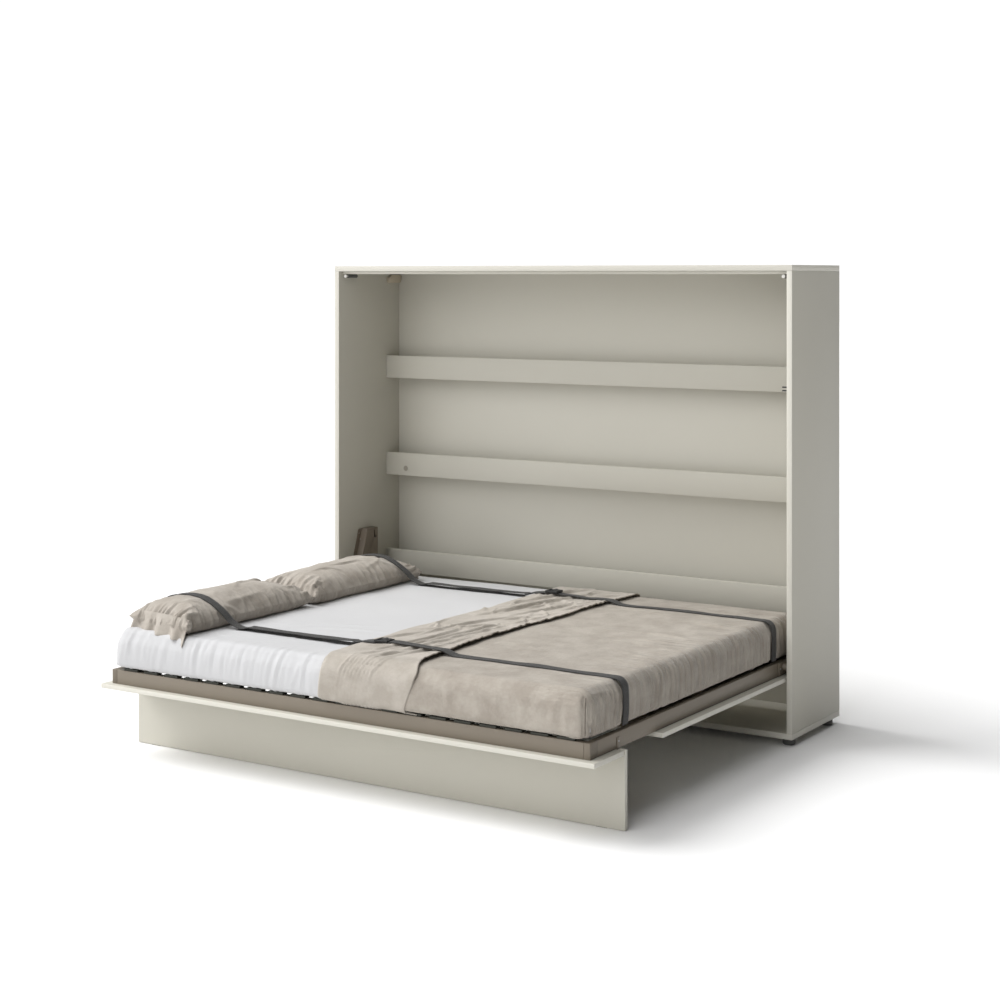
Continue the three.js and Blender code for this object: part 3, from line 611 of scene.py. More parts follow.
def cotton_finish():
    finish = Finish("white_cotton")
    threads_u = finish.node("ShaderNodeTexWave", {"bands_direction": "X"},
                            {"Vector": finish.place(), "Scale": 420, "Distortion": 0.6}, output=1)
    threads_v = finish.node("ShaderNodeTexWave", {"bands_direction": "Y"},
                            {"Vector": finish.place(), "Scale": 420, "Distortion": 0.6}, output=1)
    creased = finish.noise(34, 4, 0.55)
    cloud = finish.noise(2.5, 2)
    weave = finish.bump(threads_u * 0.5 + threads_v * 0.5, 0.00008, 0.5)
    return finish.surface({
        "Base Color": finish.mix(cloud, (0.52, 0.52, 0.53, 1), (0.56, 0.56, 0.565, 1)),
        "Roughness": 0.85,
        "Sheen Weight": 0.12,
        "Sheen Roughness": 0.5,
        "Specular IOR Level": 0.25,
        "Normal": finish.bump(creased, 0.0012, 0.6, weave),
    })


cotton = cotton_finish()
mattress = finished("mattress_in_fitted_sheet", sheet_shape, [cotton], "bed",
                    ["mattress"], 180)

# ---- blanket -------------------------------------------------------------------------
# A flannel blanket with a short pile, laid over the foot half and tucked in under three
# sides. Its upper edge is folded back, so the paler reverse shows in a wrinkled band.


def velvety(name, tone, shade, pile=1.0, drawn_end=False):
    """Short pile brushed two ways, if asked with the creases of an end that is drawn in."""
    finish = Finish(name)
    nap = finish.noise(11, 5, 0.62)
    brushed = finish.noise(70, 3, 0.6, finish.place((1, 2.2, 1.4)))
    fibres = finish.noise(1300, 2, 0.6)
    mask = finish.node("ShaderNodeMapRange", None, {
        "Value": nap, "From Min": 0.38, "From Max": 0.62, "To Min": 0.0, "To Max": 1.0})
    cloth = finish.mix(mask, shade, tone)
    cloth = finish.mix(brushed * 0.35, cloth, scaled(shade, 0.8))
    worn = finish.bump(finish.noise(38, 5, 0.62), 0.0040 * pile, 0.8)
    if drawn_end:
        along = finish.node("ShaderNodeSeparateXYZ", None, {0: finish.place()}, output="X")
        near_end = finish.node("ShaderNodeMapRange", {"interpolation_type": "SMOOTHSTEP"}, {
            "Value": along, "From Min": 0.72, "From Max": 0.99, "To Min": 0.0, "To Max": 1.0})
        drawn = finish.noise(1, 3, 0.55, finish.place((1.6, 40, 1.6)))
        worn = finish.bump(drawn * near_end, 0.022, 1.0, worn)
    return finish.surface({
        "Base Color": cloth,
        "Roughness": 0.92,
        "Sheen Weight": 0.30,
        "Sheen Roughness": 0.45,
        "Sheen Tint": (1.0, 0.97, 0.93, 1),
        "Specular IOR Level": 0.2,
        "Normal": finish.bump(fibres, 0.0004, 0.5, worn),
    })


flannel = velvety("taupe_flannel", colour(172, 165, 155), colour(153, 145, 135), 1.0, True)
flannel_reverse = velvety("taupe_flannel_reverse", colour(184, 177, 168), colour(166, 159, 149),
                          0.7)

BLANKET_T = 0.004
BLANKET_ROUNDING = (0.040, 0.058, 0.013)
BLANKET_BULGE = 0.012
blanket_low, blanket_high = (np.array(corner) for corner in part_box("blanket"))
fold_x = blanket_low[0]
wrap_low = np.array((-mattress_high[0], mattress_low[1] - 0.008, mattress_low[2] - 0.0005))
wrap_high = np.array((mattress_high[0] + 0.0035, mattress_high[1] + 0.007, mattress_high[2] + 0.009))


def cloth_over_bed(first_x, last_x, step, reach_under):
    """The outside of the blanket's block between two places along the bed, open below."""
    low, high = wrap_low.copy(), wrap_high.copy()
    low[0], high[0] = first_x, last_x
    shape = gridded(low, high, (step, 0.0055, 0.0105))
    inner_low, inner_high = wrap_low[1] + reach_under, wrap_high[1] - reach_under
    dropped = []
    for face in shape.faces:
        at = face.calc_center_median()
        if at.x < first_x + 1e-5 or (last_x < wrap_high[0] and at.x > last_x - 1e-5):
            dropped.append(face)
        elif (at.z < low[2] + 1e-5 and inner_low < at.y < inner_high
              and at.x < wrap_high[0] - reach_under):
            dropped.append(face)
    bmesh.ops.delete(shape, geom=dropped, context="FACES")
    return shape


def thickened(piece, name, thickness, offset):
    solid = piece.modifiers.new(name, "SOLIDIFY")
    solid.thickness = thickness
    solid.offset = offset


def eased_below(values, limit, ease=0.004):
    """Values near or past the limit come to rest softly below it."""
    past = np.maximum(values - limit + ease, 0)
    return np.where(past > 0, limit - ease * np.exp(-past / ease), values)


blanket_shape = cloth_over_bed(fold_x, wrap_high[0], 0.0095, 0.04)
blanket_points = read_points(blanket_shape)
cover = Wrap(blanket_points, wrap_low, wrap_high, BLANKET_ROUNDING, BLANKET_BULGE)
draw = np.random.default_rng(11)
near_v, far_v, end_u = wrap_low[1], wrap_high[1], wrap_high[0]
lines = []
# Close creases over the drawn-in end, long faint ones on top, and a few down the near side.
for k in range(74):
    y = near_v + 0.075 + 0.0205 * k + draw.normal(0, 0.004)
    lean = 0.05 * (0.5 - (y - near_v) / 1.6)
    start = end_u - draw.uniform(-0.02, 0.05)
    lines.append((end_u + 0.145, y - lean * 0.4, start, y + lean, draw.uniform(0.0055, 0.009),
                  draw.uniform(0.0045, 0.0095), draw.normal(0.008, 0.005)))
for k in range(26):
    x, y = draw.uniform(0.30, 0.92), draw.uniform(near_v + 0.1, far_v - 0.1)
    reach = draw.uniform(0.12, 0.34)
    lines.append((x, y, x + reach, y + draw.normal(0, 0.03), draw.uniform(0.008, 0.016),
                  draw.uniform(0.0016, 0.0040), draw.normal(0, 0.015)))
for k in range(14):
    x = 0.36 + 0.045 * k + draw.normal(0, 0.012)
    lines.append((x, near_v - 0.14, x + draw.normal(0.01, 0.01), near_v + draw.uniform(-0.06, 0.02),
                  draw.uniform(0.008, 0.014), draw.uniform(0.0006, 0.0018), draw.normal(0, 0.004)))
# Arched folds that spread from the sewn corner.
for spread, height in ((0.035, 0.0034), (0.07, 0.003), (0.11, 0.0022)):
    bow = 0.018 + 0.1 * spread
    lines.append((end_u - 0.02, near_v + 0.005,
                  end_u - 0.03 - 2.2 * spread, near_v - 0.045 - 0.3 * spread, 0.007, height, bow))
    lines.append((end_u + 0.005, near_v + 0.02,
                  end_u + 0.055 + 0.3 * spread, near_v + 0.03 + 2.0 * spread, 0.007, height, -bow))
tucked = 0.5 - 0.5 * np.tanh((cover.u - 0.27) / 0.03)
cover.lift(-0.0060 * tucked)
from_corner = (cover.place[:, 0] - end_u) ** 2 + (cover.place[:, 1] - near_v) ** 2
corner_fade = 1 - 0.6 * np.exp(-from_corner / 0.03 ** 2) * cover.side
cover.lift(ridges(cover.u, cover.v, lines) * corner_fade)
cover.lift(uneven(cover.place, 3.1, 0.0035, 8.0) * np.clip(cover.out[:, 2] + 1.2, 0, 1))
for squeezed in under_straps(blanket_points):
    cover.lift(-0.006 * squeezed * np.clip(cover.out[:, 0], 0, 1))
# The corner seam is a narrow groove down the middle of the rounded corner.
turn = np.arctan2(-cover.out[:, 1], cover.out[:, 0])
on_corner = (cover.out[:, 0] > 0.1) & (cover.out[:, 1] < -0.1)
groove = np.exp(-((turn - math.radians(52)) / 0.05) ** 2) * on_corner * cover.side ** 2
cover.lift(-0.0055 * groove)
# Above the frame's corner the cloth is tucked into a small dark hole, with puckers round it.
pinch = np.array((end_u - 0.004, near_v + 0.030, wrap_low[2] + 0.026))
spot = np.linalg.norm((cover.place - pinch) / (1, 0.8, 1.2), axis=1)
around = np.arctan2(cover.place[:, 2] - pinch[2], cover.place[:, 1] - pinch[1])
cover.lift((-0.024 * np.exp(-(spot / 0.013) ** 2)
            + 0.0035 * np.cos(around * 7) * np.exp(-((spot - 0.024) / 0.012) ** 2)) * cover.side)
# The end must clear the mechanism covers when the bed is closed.
CLEAR_X = 1.0165
cover.place[:, 0] = eased_below(cover.place[:, 0], CLEAR_X)
move_points(blanket_shape, cover.place)
blanket = finished("blanket_cloth", blanket_shape, [flannel], "bed", ["blanket"],
                   180)
thickened(blanket, "cloth_thickness", BLANKET_T, -1)

# The folded-back band: its free edge waves and flares at both sides.
HEM_X = 0.300
band_shape = cloth_over_bed(fold_x, HEM_X, 0.0048, 0.03)
band_points = read_points(band_shape)
share = (band_points[:, 0] - fold_x) / (HEM_X - fold_x)
across = Wrap(band_points, wrap_low, wrap_high, BLANKET_ROUNDING, BLANKET_BULGE).v
hem_wave = (0.009 * np.sin(across * 6 + 0.5) + 0.004 * np.sin(across * 15)
            + 0.0015 * np.sin(across * 41 + 2))
flare = (0.055 * np.exp(-((across - near_v + 0.02) / 0.10) ** 2)
         + 0.04 * np.exp(-((across - far_v) / 0.2) ** 2))
fold_wave = 0.006 * np.sin(across * 7 + 1) + 0.004 * np.sin(across * 19)
band_points[:, 0] = fold_x + fold_wave + share * (HEM_X - fold_x - fold_wave + hem_wave + flare)
band = Wrap(band_points, wrap_low, wrap_high, BLANKET_ROUNDING, BLANKET_BULGE)
band.u = band_points[:, 0]
band.v = across
draw = np.random.default_rng(23)
lines = []
for k in range(9):
    x = 0.055 + 0.0145 * k
    lines.append((x - 0.02, near_v - 0.14, x + 0.03 + 0.003 * k, near_v + 0.05, 0.0045,
                  draw.uniform(0.0050, 0.0080), -0.012))
for k in range(9):
    x = 0.085 + 0.013 * k
    lines.append((x, near_v + 0.02, x + draw.uniform(0.03, 0.10), near_v + draw.uniform(0.25, 0.50),
                  draw.uniform(0.006, 0.009), draw.uniform(0.005, 0.009), draw.normal(0.015, 0.012)))
# The long folds are listed, each (x, y) to (x, y), then width, height and bow.
long_folds = (
    (0.09, -0.78, 0.12, -0.30, 0.008, 0.010, 0.03), (0.12, -0.72, 0.20, -0.18, 0.007, 0.008, 0.02),
    (0.06, -0.50, 0.16, -0.02, 0.007, 0.007, -0.02), (0.16, -0.60, 0.24, -0.20, 0.006, 0.006, 0.01),
    (0.04, -0.36, -0.01, -0.28, 0.008, 0.007, 0.01), (0.05, -0.36, 0.00, -0.42, 0.008, 0.006, -0.01),
    (0.03, -0.05, 0.10, 0.42, 0.009, 0.008, 0.03), (0.08, 0.02, 0.16, 0.50, 0.008, 0.009, -0.02),
    (0.14, 0.00, 0.21, 0.38, 0.007, 0.006, 0.02), (0.00, 0.22, 0.07, 0.62, 0.009, 0.008, 0.02),
    (0.20, 0.20, 0.10, 0.27, 0.008, 0.008, 0.015), (0.24, 0.34, 0.13, 0.40, 0.008, 0.007, -0.015),
    (0.26, -0.10, 0.20, -0.02, 0.007, 0.006, 0.01), (0.27, 0.05, 0.19, 0.13, 0.007, 0.007, 0.01),
    (0.02, 0.45, 0.12, 0.66, 0.008, 0.007, 0.0), (-0.02, -0.64, 0.04, -0.44, 0.008, 0.005, 0.01))
lines += [(*line[:5], line[5] * 1.5, line[6]) for line in long_folds]
for k in range(46):
    x, y = draw.uniform(-0.01, 0.27), draw.uniform(near_v + 0.15, far_v - 0.05)
    angle = draw.normal(1.35, 0.45)
    reach = draw.uniform(0.05, 0.2)
    lines.append((x, y, x + reach * math.cos(angle), y + reach * math.sin(angle),
                  draw.uniform(0.005, 0.009), draw.uniform(0.0030, 0.0080), draw.normal(0, 0.01)))
for k in range(40):
    y = near_v + 0.08 + 0.039 * k + draw.normal(0, 0.008)
    lines.append((HEM_X + 0.02, y, HEM_X - draw.uniform(0.03, 0.08), y + draw.normal(0, 0.02),
                  draw.uniform(0.005, 0.009), draw.uniform(0.001, 0.0045), 0.0))
rolled = np.sqrt(np.clip(1 - (1 - np.clip(share * 0.34 / 0.016, 0, 1)) ** 2, 0, 1))
hem_lift = 0.004 * np.clip((share - 0.8) / 0.2, 0, 1) ** 2
flat_side = np.clip(-band.out[:, 1], 0, 1)
CREST, HOLLOW = 0.013, 0.003
gathers = ridges(band.u, band.v, lines)
gathers = np.where(gathers > 0, CREST * np.tanh(gathers / CREST), HOLLOW * np.tanh(gathers / HOLLOW))
band.lift(rolled * (0.0100 - 0.005 * flat_side + gathers) + hem_lift)
band.lift(uneven(band.place, 6.0, 0.0022, 1.0) * rolled)
# Its near side must clear the stop strip under the cabinet's top.
CLEAR_Y = -0.9438
band.place[:, 1] = -eased_below(-band.place[:, 1], -CLEAR_Y)
move_points(band_shape, band.place)
turned_band = finished("blanket_turned_band", band_shape, [flannel_reverse], "bed",
                       ["blanket"], 180)
thickened(turned_band, "cloth_thickness", BLANKET_T, -1)
# The corner's seam, a row of thread sunk between two rolls of cloth; the thread's dark colour is
# painted shade of the groove.
SEAM_TURN = math.radians(68)
SEAM_STEPS, SEAM_PITCH = 34, 0.0036
depsgraph = bpy.context.evaluated_depsgraph_get()
blanket_tree = BVHTree.FromObject(blanket, depsgraph)
seam_way = Vector((-math.cos(SEAM_TURN), math.sin(SEAM_TURN), 0))
seam_foot = Vector((end_u - 0.013, near_v + 0.012, wrap_low[2] + 0.010))
seam_points = []
for step in range(SEAM_STEPS):
    start = seam_foot + Vector((0, 0, step * SEAM_PITCH)) - seam_way * 0.06
    hit = blanket_tree.ray_cast(start, seam_way, 0.12)
    if hit[0] is not None:
        seam_points.append(hit[0] - seam_way * 0.0002)
seam_shape = bmesh.new()
for first, second in zip(seam_points, seam_points[1:]):
    bead = bmesh.ops.create_uvsphere(seam_shape, u_segments=8, v_segments=6, radius=0.0012)
    bmesh.ops.scale(seam_shape, vec=(1, 1, 2.1), verts=bead["verts"])
    bmesh.ops.translate(seam_shape, vec=(first + second) / 2, verts=bead["verts"])
# The thread's dark brown, far darker than the flannel, is painted shade down the seam's groove.
seam_thread_painted_shade = moulded("seam_thread_painted_shade", colour(74, 66, 57), 0.8)
seam = finished("blanket_corner_seam", seam_shape, [seam_thread_painted_shade], "bed",
                ["blanket"], 180)

# ---- pillows -------------------------------------------------------------------------
# Two pillows, each sewn from two 35 x 75 cm panels of the same flannel and filled, in a
# case that is open at its outer end. The spare length of the case hangs there in folds.

PILLOW_CUT = (0.345, 0.748)
PILLOW_STEP = 0.0082
PILLOW_VOLUME = 0.0176
PILLOW_PRESSURE = 40
PILLOW_FRAMES = 30
SEAM_LIP = 0.004
SEAM_HALF_T = 0.0012
SHEET_TOP = mattress_high[2] + 0.002


def sewn_pad(width, length, step):
    """Two flat panels, one over the other, joined round their edge by a narrow seam."""
    shape = bmesh.new()
    bmesh.ops.create_grid(shape, x_segments=round(width / step), y_segments=round(length / step),
                          size=0.5)
    bmesh.ops.scale(shape, vec=(width, length, 1), verts=shape.verts)
    under = bmesh.ops.duplicate(shape, geom=shape.verts[:] + shape.edges[:] + shape.faces[:])["geom"]
    bmesh.ops.translate(shape, vec=(0, 0, -0.007),
                        verts=[g for g in under if isinstance(g, bmesh.types.BMVert)])
    bmesh.ops.reverse_faces(shape, faces=[g for g in under if isinstance(g, bmesh.types.BMFace)])
    bmesh.ops.bridge_loops(shape, edges=[e for e in shape.edges if e.is_boundary])
    bmesh.ops.recalc_face_normals(shape, faces=shape.faces)
    return shape


def filled(shape, name, middle):
    """Blows the pad up where it lies on the bed, and gives its new points back."""
    mesh = bpy.data.meshes.new(name)
    shape.to_mesh(mesh)
    pad = bpy.data.objects.new(name, mesh)
    pad.location = middle
    bpy.context.scene.collection.objects.link(pad)
    bed_mesh = bpy.data.meshes.new("bed_top")
    bed_block = block((-1.4, -1.6, SHEET_TOP - 1), (0.2, 1.4, SHEET_TOP))
    bed_block.to_mesh(bed_mesh)
    bed_block.free()
    bed_top = bpy.data.objects.new("bed_top", bed_mesh)
    bpy.context.scene.collection.objects.link(bed_top)
    bed_top.modifiers.new("solid", "COLLISION")
    bed_top.collision.thickness_outer = 0.002
    cloth = pad.modifiers.new("filling", "CLOTH")
    settings = cloth.settings
    settings.quality = 5
    settings.mass = 0.3
    settings.tension_stiffness = 15
    settings.compression_stiffness = 15
    settings.shear_stiffness = 7.5
    settings.bending_stiffness = 0.5
    settings.use_pressure = True
    settings.uniform_pressure_force = PILLOW_PRESSURE
    settings.use_pressure_volume = True
    settings.target_volume = PILLOW_VOLUME
    settings.effector_weights.gravity = 0.35
    cloth.collision_settings.distance_min = 0.003
    cloth.point_cache.frame_start = 1
    cloth.point_cache.frame_end = PILLOW_FRAMES
    for number in range(1, PILLOW_FRAMES + 1):
        bpy.context.scene.frame_set(number)
    evaluated = pad.evaluated_get(bpy.context.evaluated_depsgraph_get())
    points = np.array([pad.matrix_world @ v.co for v in evaluated.data.vertices])
    for extra in (pad, bed_top):
        bpy.data.objects.remove(extra)
    for extra in (mesh, bed_mesh):
        bpy.data.meshes.remove(extra)
    bpy.context.scene.frame_set(1)
    return points


def outward(shape):
    shape.normal_update()
    return np.array([v.normal for v in shape.verts])


def press_seam(points, flat):
    """Brings both panels' edges together in a flat lip."""
    count = len(flat) // 2
    rim = np.where((np.abs(flat[:count, 0]) > PILLOW_CUT[0] / 2 - 1e-5)
                   | (np.abs(flat[:count, 1]) > PILLOW_CUT[1] / 2 - 1e-5))[0]
    seam = (points[rim] + points[rim + count]) / 2
    outline = flat[rim, :2]
    seam[:, :2] += outline / np.linalg.norm(outline, axis=1)[:, None] * SEAM_LIP
    points[rim] = seam + (0, 0, SEAM_HALF_T)
    points[rim + count] = seam - (0, 0, SEAM_HALF_T)


def pillow_folds(low, high, open_end, draw):
    """Gathers along the open end, the far end and the inner seam, and folds on top."""
    end_y, far_y = (low[1], high[1]) if open_end < 0 else (high[1], low[1])
    lines = []
    for k in range(26):
        x = low[0] + 0.02 + 0.0122 * k + draw.normal(0, 0.003)
        reach = draw.uniform(0.03, 0.09)
        lines.append((x, end_y + open_end * 0.015, x + draw.normal(0, 0.010), end_y - open_end * reach,
                      draw.uniform(0.0045, 0.0065), draw.uniform(0.0040, 0.0090),
                      draw.normal(0, 0.003)))
    for k in range(16):
        x = low[0] + 0.04 + 0.019 * k + draw.normal(0, 0.004)
        lines.append((x, far_y - open_end * 0.01, x + draw.normal(0, 0.015),
                      far_y + open_end * draw.uniform(0.04, 0.12), draw.uniform(0.005, 0.008),
                      draw.uniform(0.0030, 0.0075), draw.normal(0, 0.004)))
    for k in range(20):
        y = low[1] + 0.04 + 0.034 * k + draw.normal(0, 0.008)
        lines.append((high[0] + 0.01, y, high[0] - draw.uniform(0.04, 0.12), y + draw.normal(0, 0.03),
                      draw.uniform(0.005, 0.009), draw.uniform(0.0025, 0.0065),
                      draw.normal(0, 0.006)))
    for k in range(12):
        x = draw.uniform(low[0] + 0.05, high[0] - 0.05)
        y = draw.uniform(low[1] + 0.08, high[1] - 0.08)
        lines.append((x, y, x + draw.normal(0, 0.05), y + draw.uniform(0.08, 0.22),
                      draw.uniform(0.007, 0.013), draw.uniform(0.0025, 0.0060),
                      draw.normal(0, 0.01)))
    return lines


# The strap's own route over a pillow, as places along the bed and the heights above them.
STRAP_OVER_PILLOW = ((-1.00, -0.985, -0.94, -0.88, -0.83, -0.78, -0.73, -0.68, -0.63, -0.58),
                     (0.500, 0.532, 0.556, 0.5675, 0.569, 0.563, 0.544, 0.515, 0.482, 0.466))


def press_under_straps(points, low):
    """A strap holds the pillow down, most of all on the side that faces the foot end."""
    held_z = np.interp(points[:, 0], *STRAP_OVER_PILLOW)
    for strap_y in strap_ys.values():
        near = np.exp(-np.abs((points[:, 1] - strap_y) / 0.062) ** 2.6)
        points[:, 2] -= near * np.maximum(points[:, 2] - held_z, 0)
        beside = np.exp(-((np.abs(points[:, 1] - strap_y) - 0.075) / 0.025) ** 2)
        points[:, 2] += 0.003 * beside * np.clip((points[:, 2] - low[2]) / 0.06 - 1, 0, 1)
    points[:, 2] = np.maximum(points[:, 2], SHEET_TOP - 0.002)


def sleeve(low, high, open_end, reach):
    """The case's open end, which droops in folds over the mattress edge and ends in a hem."""
    shape = bmesh.new()
    bmesh.ops.create_grid(shape, x_segments=128, y_segments=18, size=0.5)
    around = read_points(shape)[:, 0] * 2 * math.pi
    down = read_points(shape)[:, 1] + 0.5
    end_y = low[1] if open_end < 0 else high[1]
    middle_x = (low[0] + high[0]) / 2
    half_x = (high[0] - low[0]) / 2 - 0.014
    x = middle_x + half_x * np.sign(np.cos(around)) * np.abs(np.cos(around)) ** 0.92
    across = (x - middle_x) / half_x
    front = np.sin(around)
    folds = (0.75 * np.sin(across * 11.5 + 0.6) + 0.30 * np.sin(across * 19 + 2.0)
             + 0.25 * np.sin(across * 5 + 1))
    run_out = reach * (0.75 * down + 0.25 * down ** 2)
    thickness = 0.012 * (1 - 0.55 * down)
    hem = 0.0013 * (down > 0.86)
    tail = np.clip((across - 0.72) / 0.28, 0, 1) ** 1.5 * down
    droop = reach * 0.80 * down ** 1.35 * (1 + 0.10 * across) + 0.016 * tail
    out = run_out * 0.36 + folds * 0.012 * down ** 1.1 + front * (thickness + hem) + 0.014 * tail
    y = end_y + open_end * (out - 0.030)
    z = (low[2] + high[2]) / 2 - 0.004 - droop + front * thickness * 0.9
    if open_end < 0:
        y = y + 0.018 - 0.026 * across
    else:
        z = np.maximum(z, SHEET_TOP + 0.002 + 0.004 * (front + 1))
    move_points(shape, np.stack([x + folds * 0.003 * down, y, z], 1))
    bmesh.ops.remove_doubles(shape, verts=shape.verts, dist=1e-5)
    bmesh.ops.recalc_face_normals(shape, faces=shape.faces)
    return shape


pillow_flannel = velvety("pillow_flannel", colour(182, 175, 166), colour(162, 154, 144))
draw = np.random.default_rng(31)
pillow_cases = []
for name, open_end, reach, opening in (("pillow_near", -1, 0.085, 0.098),
                                       ("pillow_far", 1, 0.045, 0.056)):
    low, high = (np.array(corner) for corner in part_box(name))
    middle = Vector((*((low + high) / 2)[:2], SHEET_TOP + 0.014))
    pillow = sewn_pad(*PILLOW_CUT, PILLOW_STEP)
    flat = read_points(pillow)
    points = filled(pillow, f"{name}_pad", middle)
    span = points.max(0) - points.min(0)
    points = low + (points - points.min(0)) / span * (high - low)
    # The near pillow lies a little askew at its open end.
    if open_end < 0:
        along_x = (points[:, 0] - low[0]) / (high[0] - low[0]) * 2 - 1
        near_end = np.clip(1 - np.abs(points[:, 1] - low[1]) / 0.30, 0, 1)
        points[:, 1] += 0.020 * near_end - 0.026 * along_x * near_end
    press_seam(points, flat)
    move_points(pillow, points)
    # The cloth is cut finer for the small gathers.
    bmesh.ops.subdivide_edges(pillow, edges=pillow.edges[:], cuts=1, use_grid_fill=True)
    bmesh.ops.smooth_vert(pillow, verts=pillow.verts, factor=0.5, use_axis_x=True, use_axis_y=True,
                          use_axis_z=True)
    points = read_points(pillow)
    off_seam = np.clip(np.abs(points[:, 2] - low[2]) / 0.03, 0, 1)
    lines = pillow_folds(low, high, open_end, draw)
    lift = ridges(points[:, 0], points[:, 1], lines) * off_seam
    lift += uneven(points, 9, 0.0022, 5.0 + open_end)
    points = points + outward(pillow) * lift[:, None]
    press_under_straps(points, low)
    move_points(pillow, points)
    case = finished(f"{name}_case", pillow, [pillow_flannel], "bed", [name], 180)
    pillow_cases.append(case)
    flap = finished(f"{name}_case_opening", sleeve(low, high, open_end, reach), [pillow_flannel],
                    "bed", [name], 180)
    thickened(flap, "cloth_thickness", 0.0016, 0)

# ---- straps --------------------------------------------------------------------------
# Two 40 mm charcoal polyester straps hold the bedding while the bed is closed. Each runs
# from the frame's left end over pillow, sheet and blanket to the right end, through a
# ladder-lock buckle, and its doubled tail lies on the sheet below it.

WEBBING_W = 0.040
WEBBING_T = 0.0019
LIFTED = 0.0095
TIGHT = -0.02
ROUTE_STEP = 0.0075
soft_pieces = [mattress, blanket, turned_band, *pillow_cases]
depsgraph = bpy.context.evaluated_depsgraph_get()
soft_trees = [BVHTree.FromObject(piece, depsgraph) for piece in soft_pieces]


def webbing_finish():
    finish = Finish("charcoal_webbing")
    flat_place = finish.node("ShaderNodeUVMap", {"uv_map": "along_strap"})
    ribs = finish.node("ShaderNodeTexWave", {"bands_direction": "X"},
                       {"Vector": flat_place, "Scale": 190, "Distortion": 0.3}, output=1)
    yarns = finish.node("ShaderNodeTexWave", {"bands_direction": "Y"},
                        {"Vector": flat_place, "Scale": 240, "Distortion": 0.5}, output=1)
    worn = finish.noise(26, 3)
    weave = ribs * yarns
    return finish.surface({
        "Base Color": finish.mix(weave * 0.6 + worn * 0.4, colour(36, 35, 35), colour(66, 65, 63)),
        "Roughness": 0.72,
        "Sheen Weight": 0.15,
        "Specular IOR Level": 0.3,
        "Normal": finish.bump(weave, 0.0003, 0.8),
    })


webbing = webbing_finish()


def evened(corners, step, rounds=3):
    """Points about one step apart along a path of corners, with the corners cut off."""
    path = np.array(corners, float)
    for _ in range(rounds):
        first, second = path[:-1], path[1:]
        cut = np.stack([first * 0.75 + second * 0.25, first * 0.25 + second * 0.75], 1)
        path = np.vstack([path[:1], cut.reshape(-1, 2), path[-1:]])
    gaps = np.hypot(*np.diff(path, axis=0).T)
    length = np.concatenate([[0], np.cumsum(gaps)])
    places = np.linspace(0, length[-1], max(2, round(length[-1] / step)))
    return np.stack([np.interp(places, length, path[:, k]) for k in (0, 1)], 1)


def away(path):
    """The direction in the (x, z) plane that points out of the bedding, at each point."""
    along = np.gradient(path, axis=0)
    out = np.stack([-along[:, 1], along[:, 0]], 1)
    return out / np.linalg.norm(out, axis=1)[:, None]


def height_over(path, out, y, reach=0.10):
    """How far the bedding stands out past each point of the path, over the strap's width."""
    heights = np.full(len(path), TIGHT)
    for i, ((x, z), (nx, nz)) in enumerate(zip(path, out)):
        for off in (-0.019, -0.0095, 0, 0.0095, 0.019):
            start = Vector((x + nx * reach, y + off, z + nz * reach))
            for tree in soft_trees:
                hit = tree.ray_cast(start, Vector((-nx, 0, -nz)), reach - TIGHT)
                if hit[0] is not None:
                    heights[i] = max(heights[i], reach - hit[3])
    return heights


def evenly_over(heights, lifted):
    """The bedding's height, bridged over hollows, with soft changes."""
    side = 4
    line = np.pad(heights, side, mode="edge")
    crest = np.max([line[k:k + len(heights)] for k in range(2 * side + 1)], 0)
    soft = np.hanning(2 * side + 3)[1:-1]
    blurred = np.convolve(np.pad(crest, side, mode="edge"), soft / soft.sum(), "valid")
    return np.maximum(np.maximum(blurred, heights + 0.0004), lifted)


def ribbon(name, path, y, width, nodes, wave=0.0008, seed=0.0):
    """Webbing along a path in the (x, z) plane, its underside on the path."""
    count = len(path)
    out = away(path)
    shape = bmesh.new()
    bmesh.ops.create_grid(shape, x_segments=count - 1, y_segments=6, size=0.5)
    points = read_points(shape)
    index = np.round((points[:, 0] + 0.5) * (count - 1)).astype(int)
    across = points[:, 1]
    gaps = np.hypot(*np.diff(path, axis=0).T)
    length = np.concatenate([[0], np.cumsum(gaps)])
    chart = shape.loops.layers.uv.new("along_strap")
    for face in shape.faces:
        for loop in face.loops:
            at = loop.vert.index
            loop[chart].uv = (length[index[at]], across[at] * width)
    run = length[index]
    rise = wave * (np.sin(run * 21 + seed) * across * 1.6 + 0.4 * np.sin(run * 37))
    placed = np.zeros_like(points)
    placed[:, 0] = path[index, 0] + out[index, 0] * (rise + wave)
    placed[:, 2] = path[index, 1] + out[index, 1] * (rise + wave)
    placed[:, 1] = y + across * width + 0.002 * np.sin(run * 3.1 + seed)
    move_points(shape, placed)
    piece = finished(name, shape, [webbing], "bed", nodes, 180)
    thickened(piece, "webbing_thickness", WEBBING_T, 1)


def over_bedding(path, y, floor):
    """The path moved out so that it lies on the bedding, nowhere lower than floor."""
    out = away(path)
    heights = height_over(path, out, y)
    return path + out * evenly_over(heights, floor)[:, None]


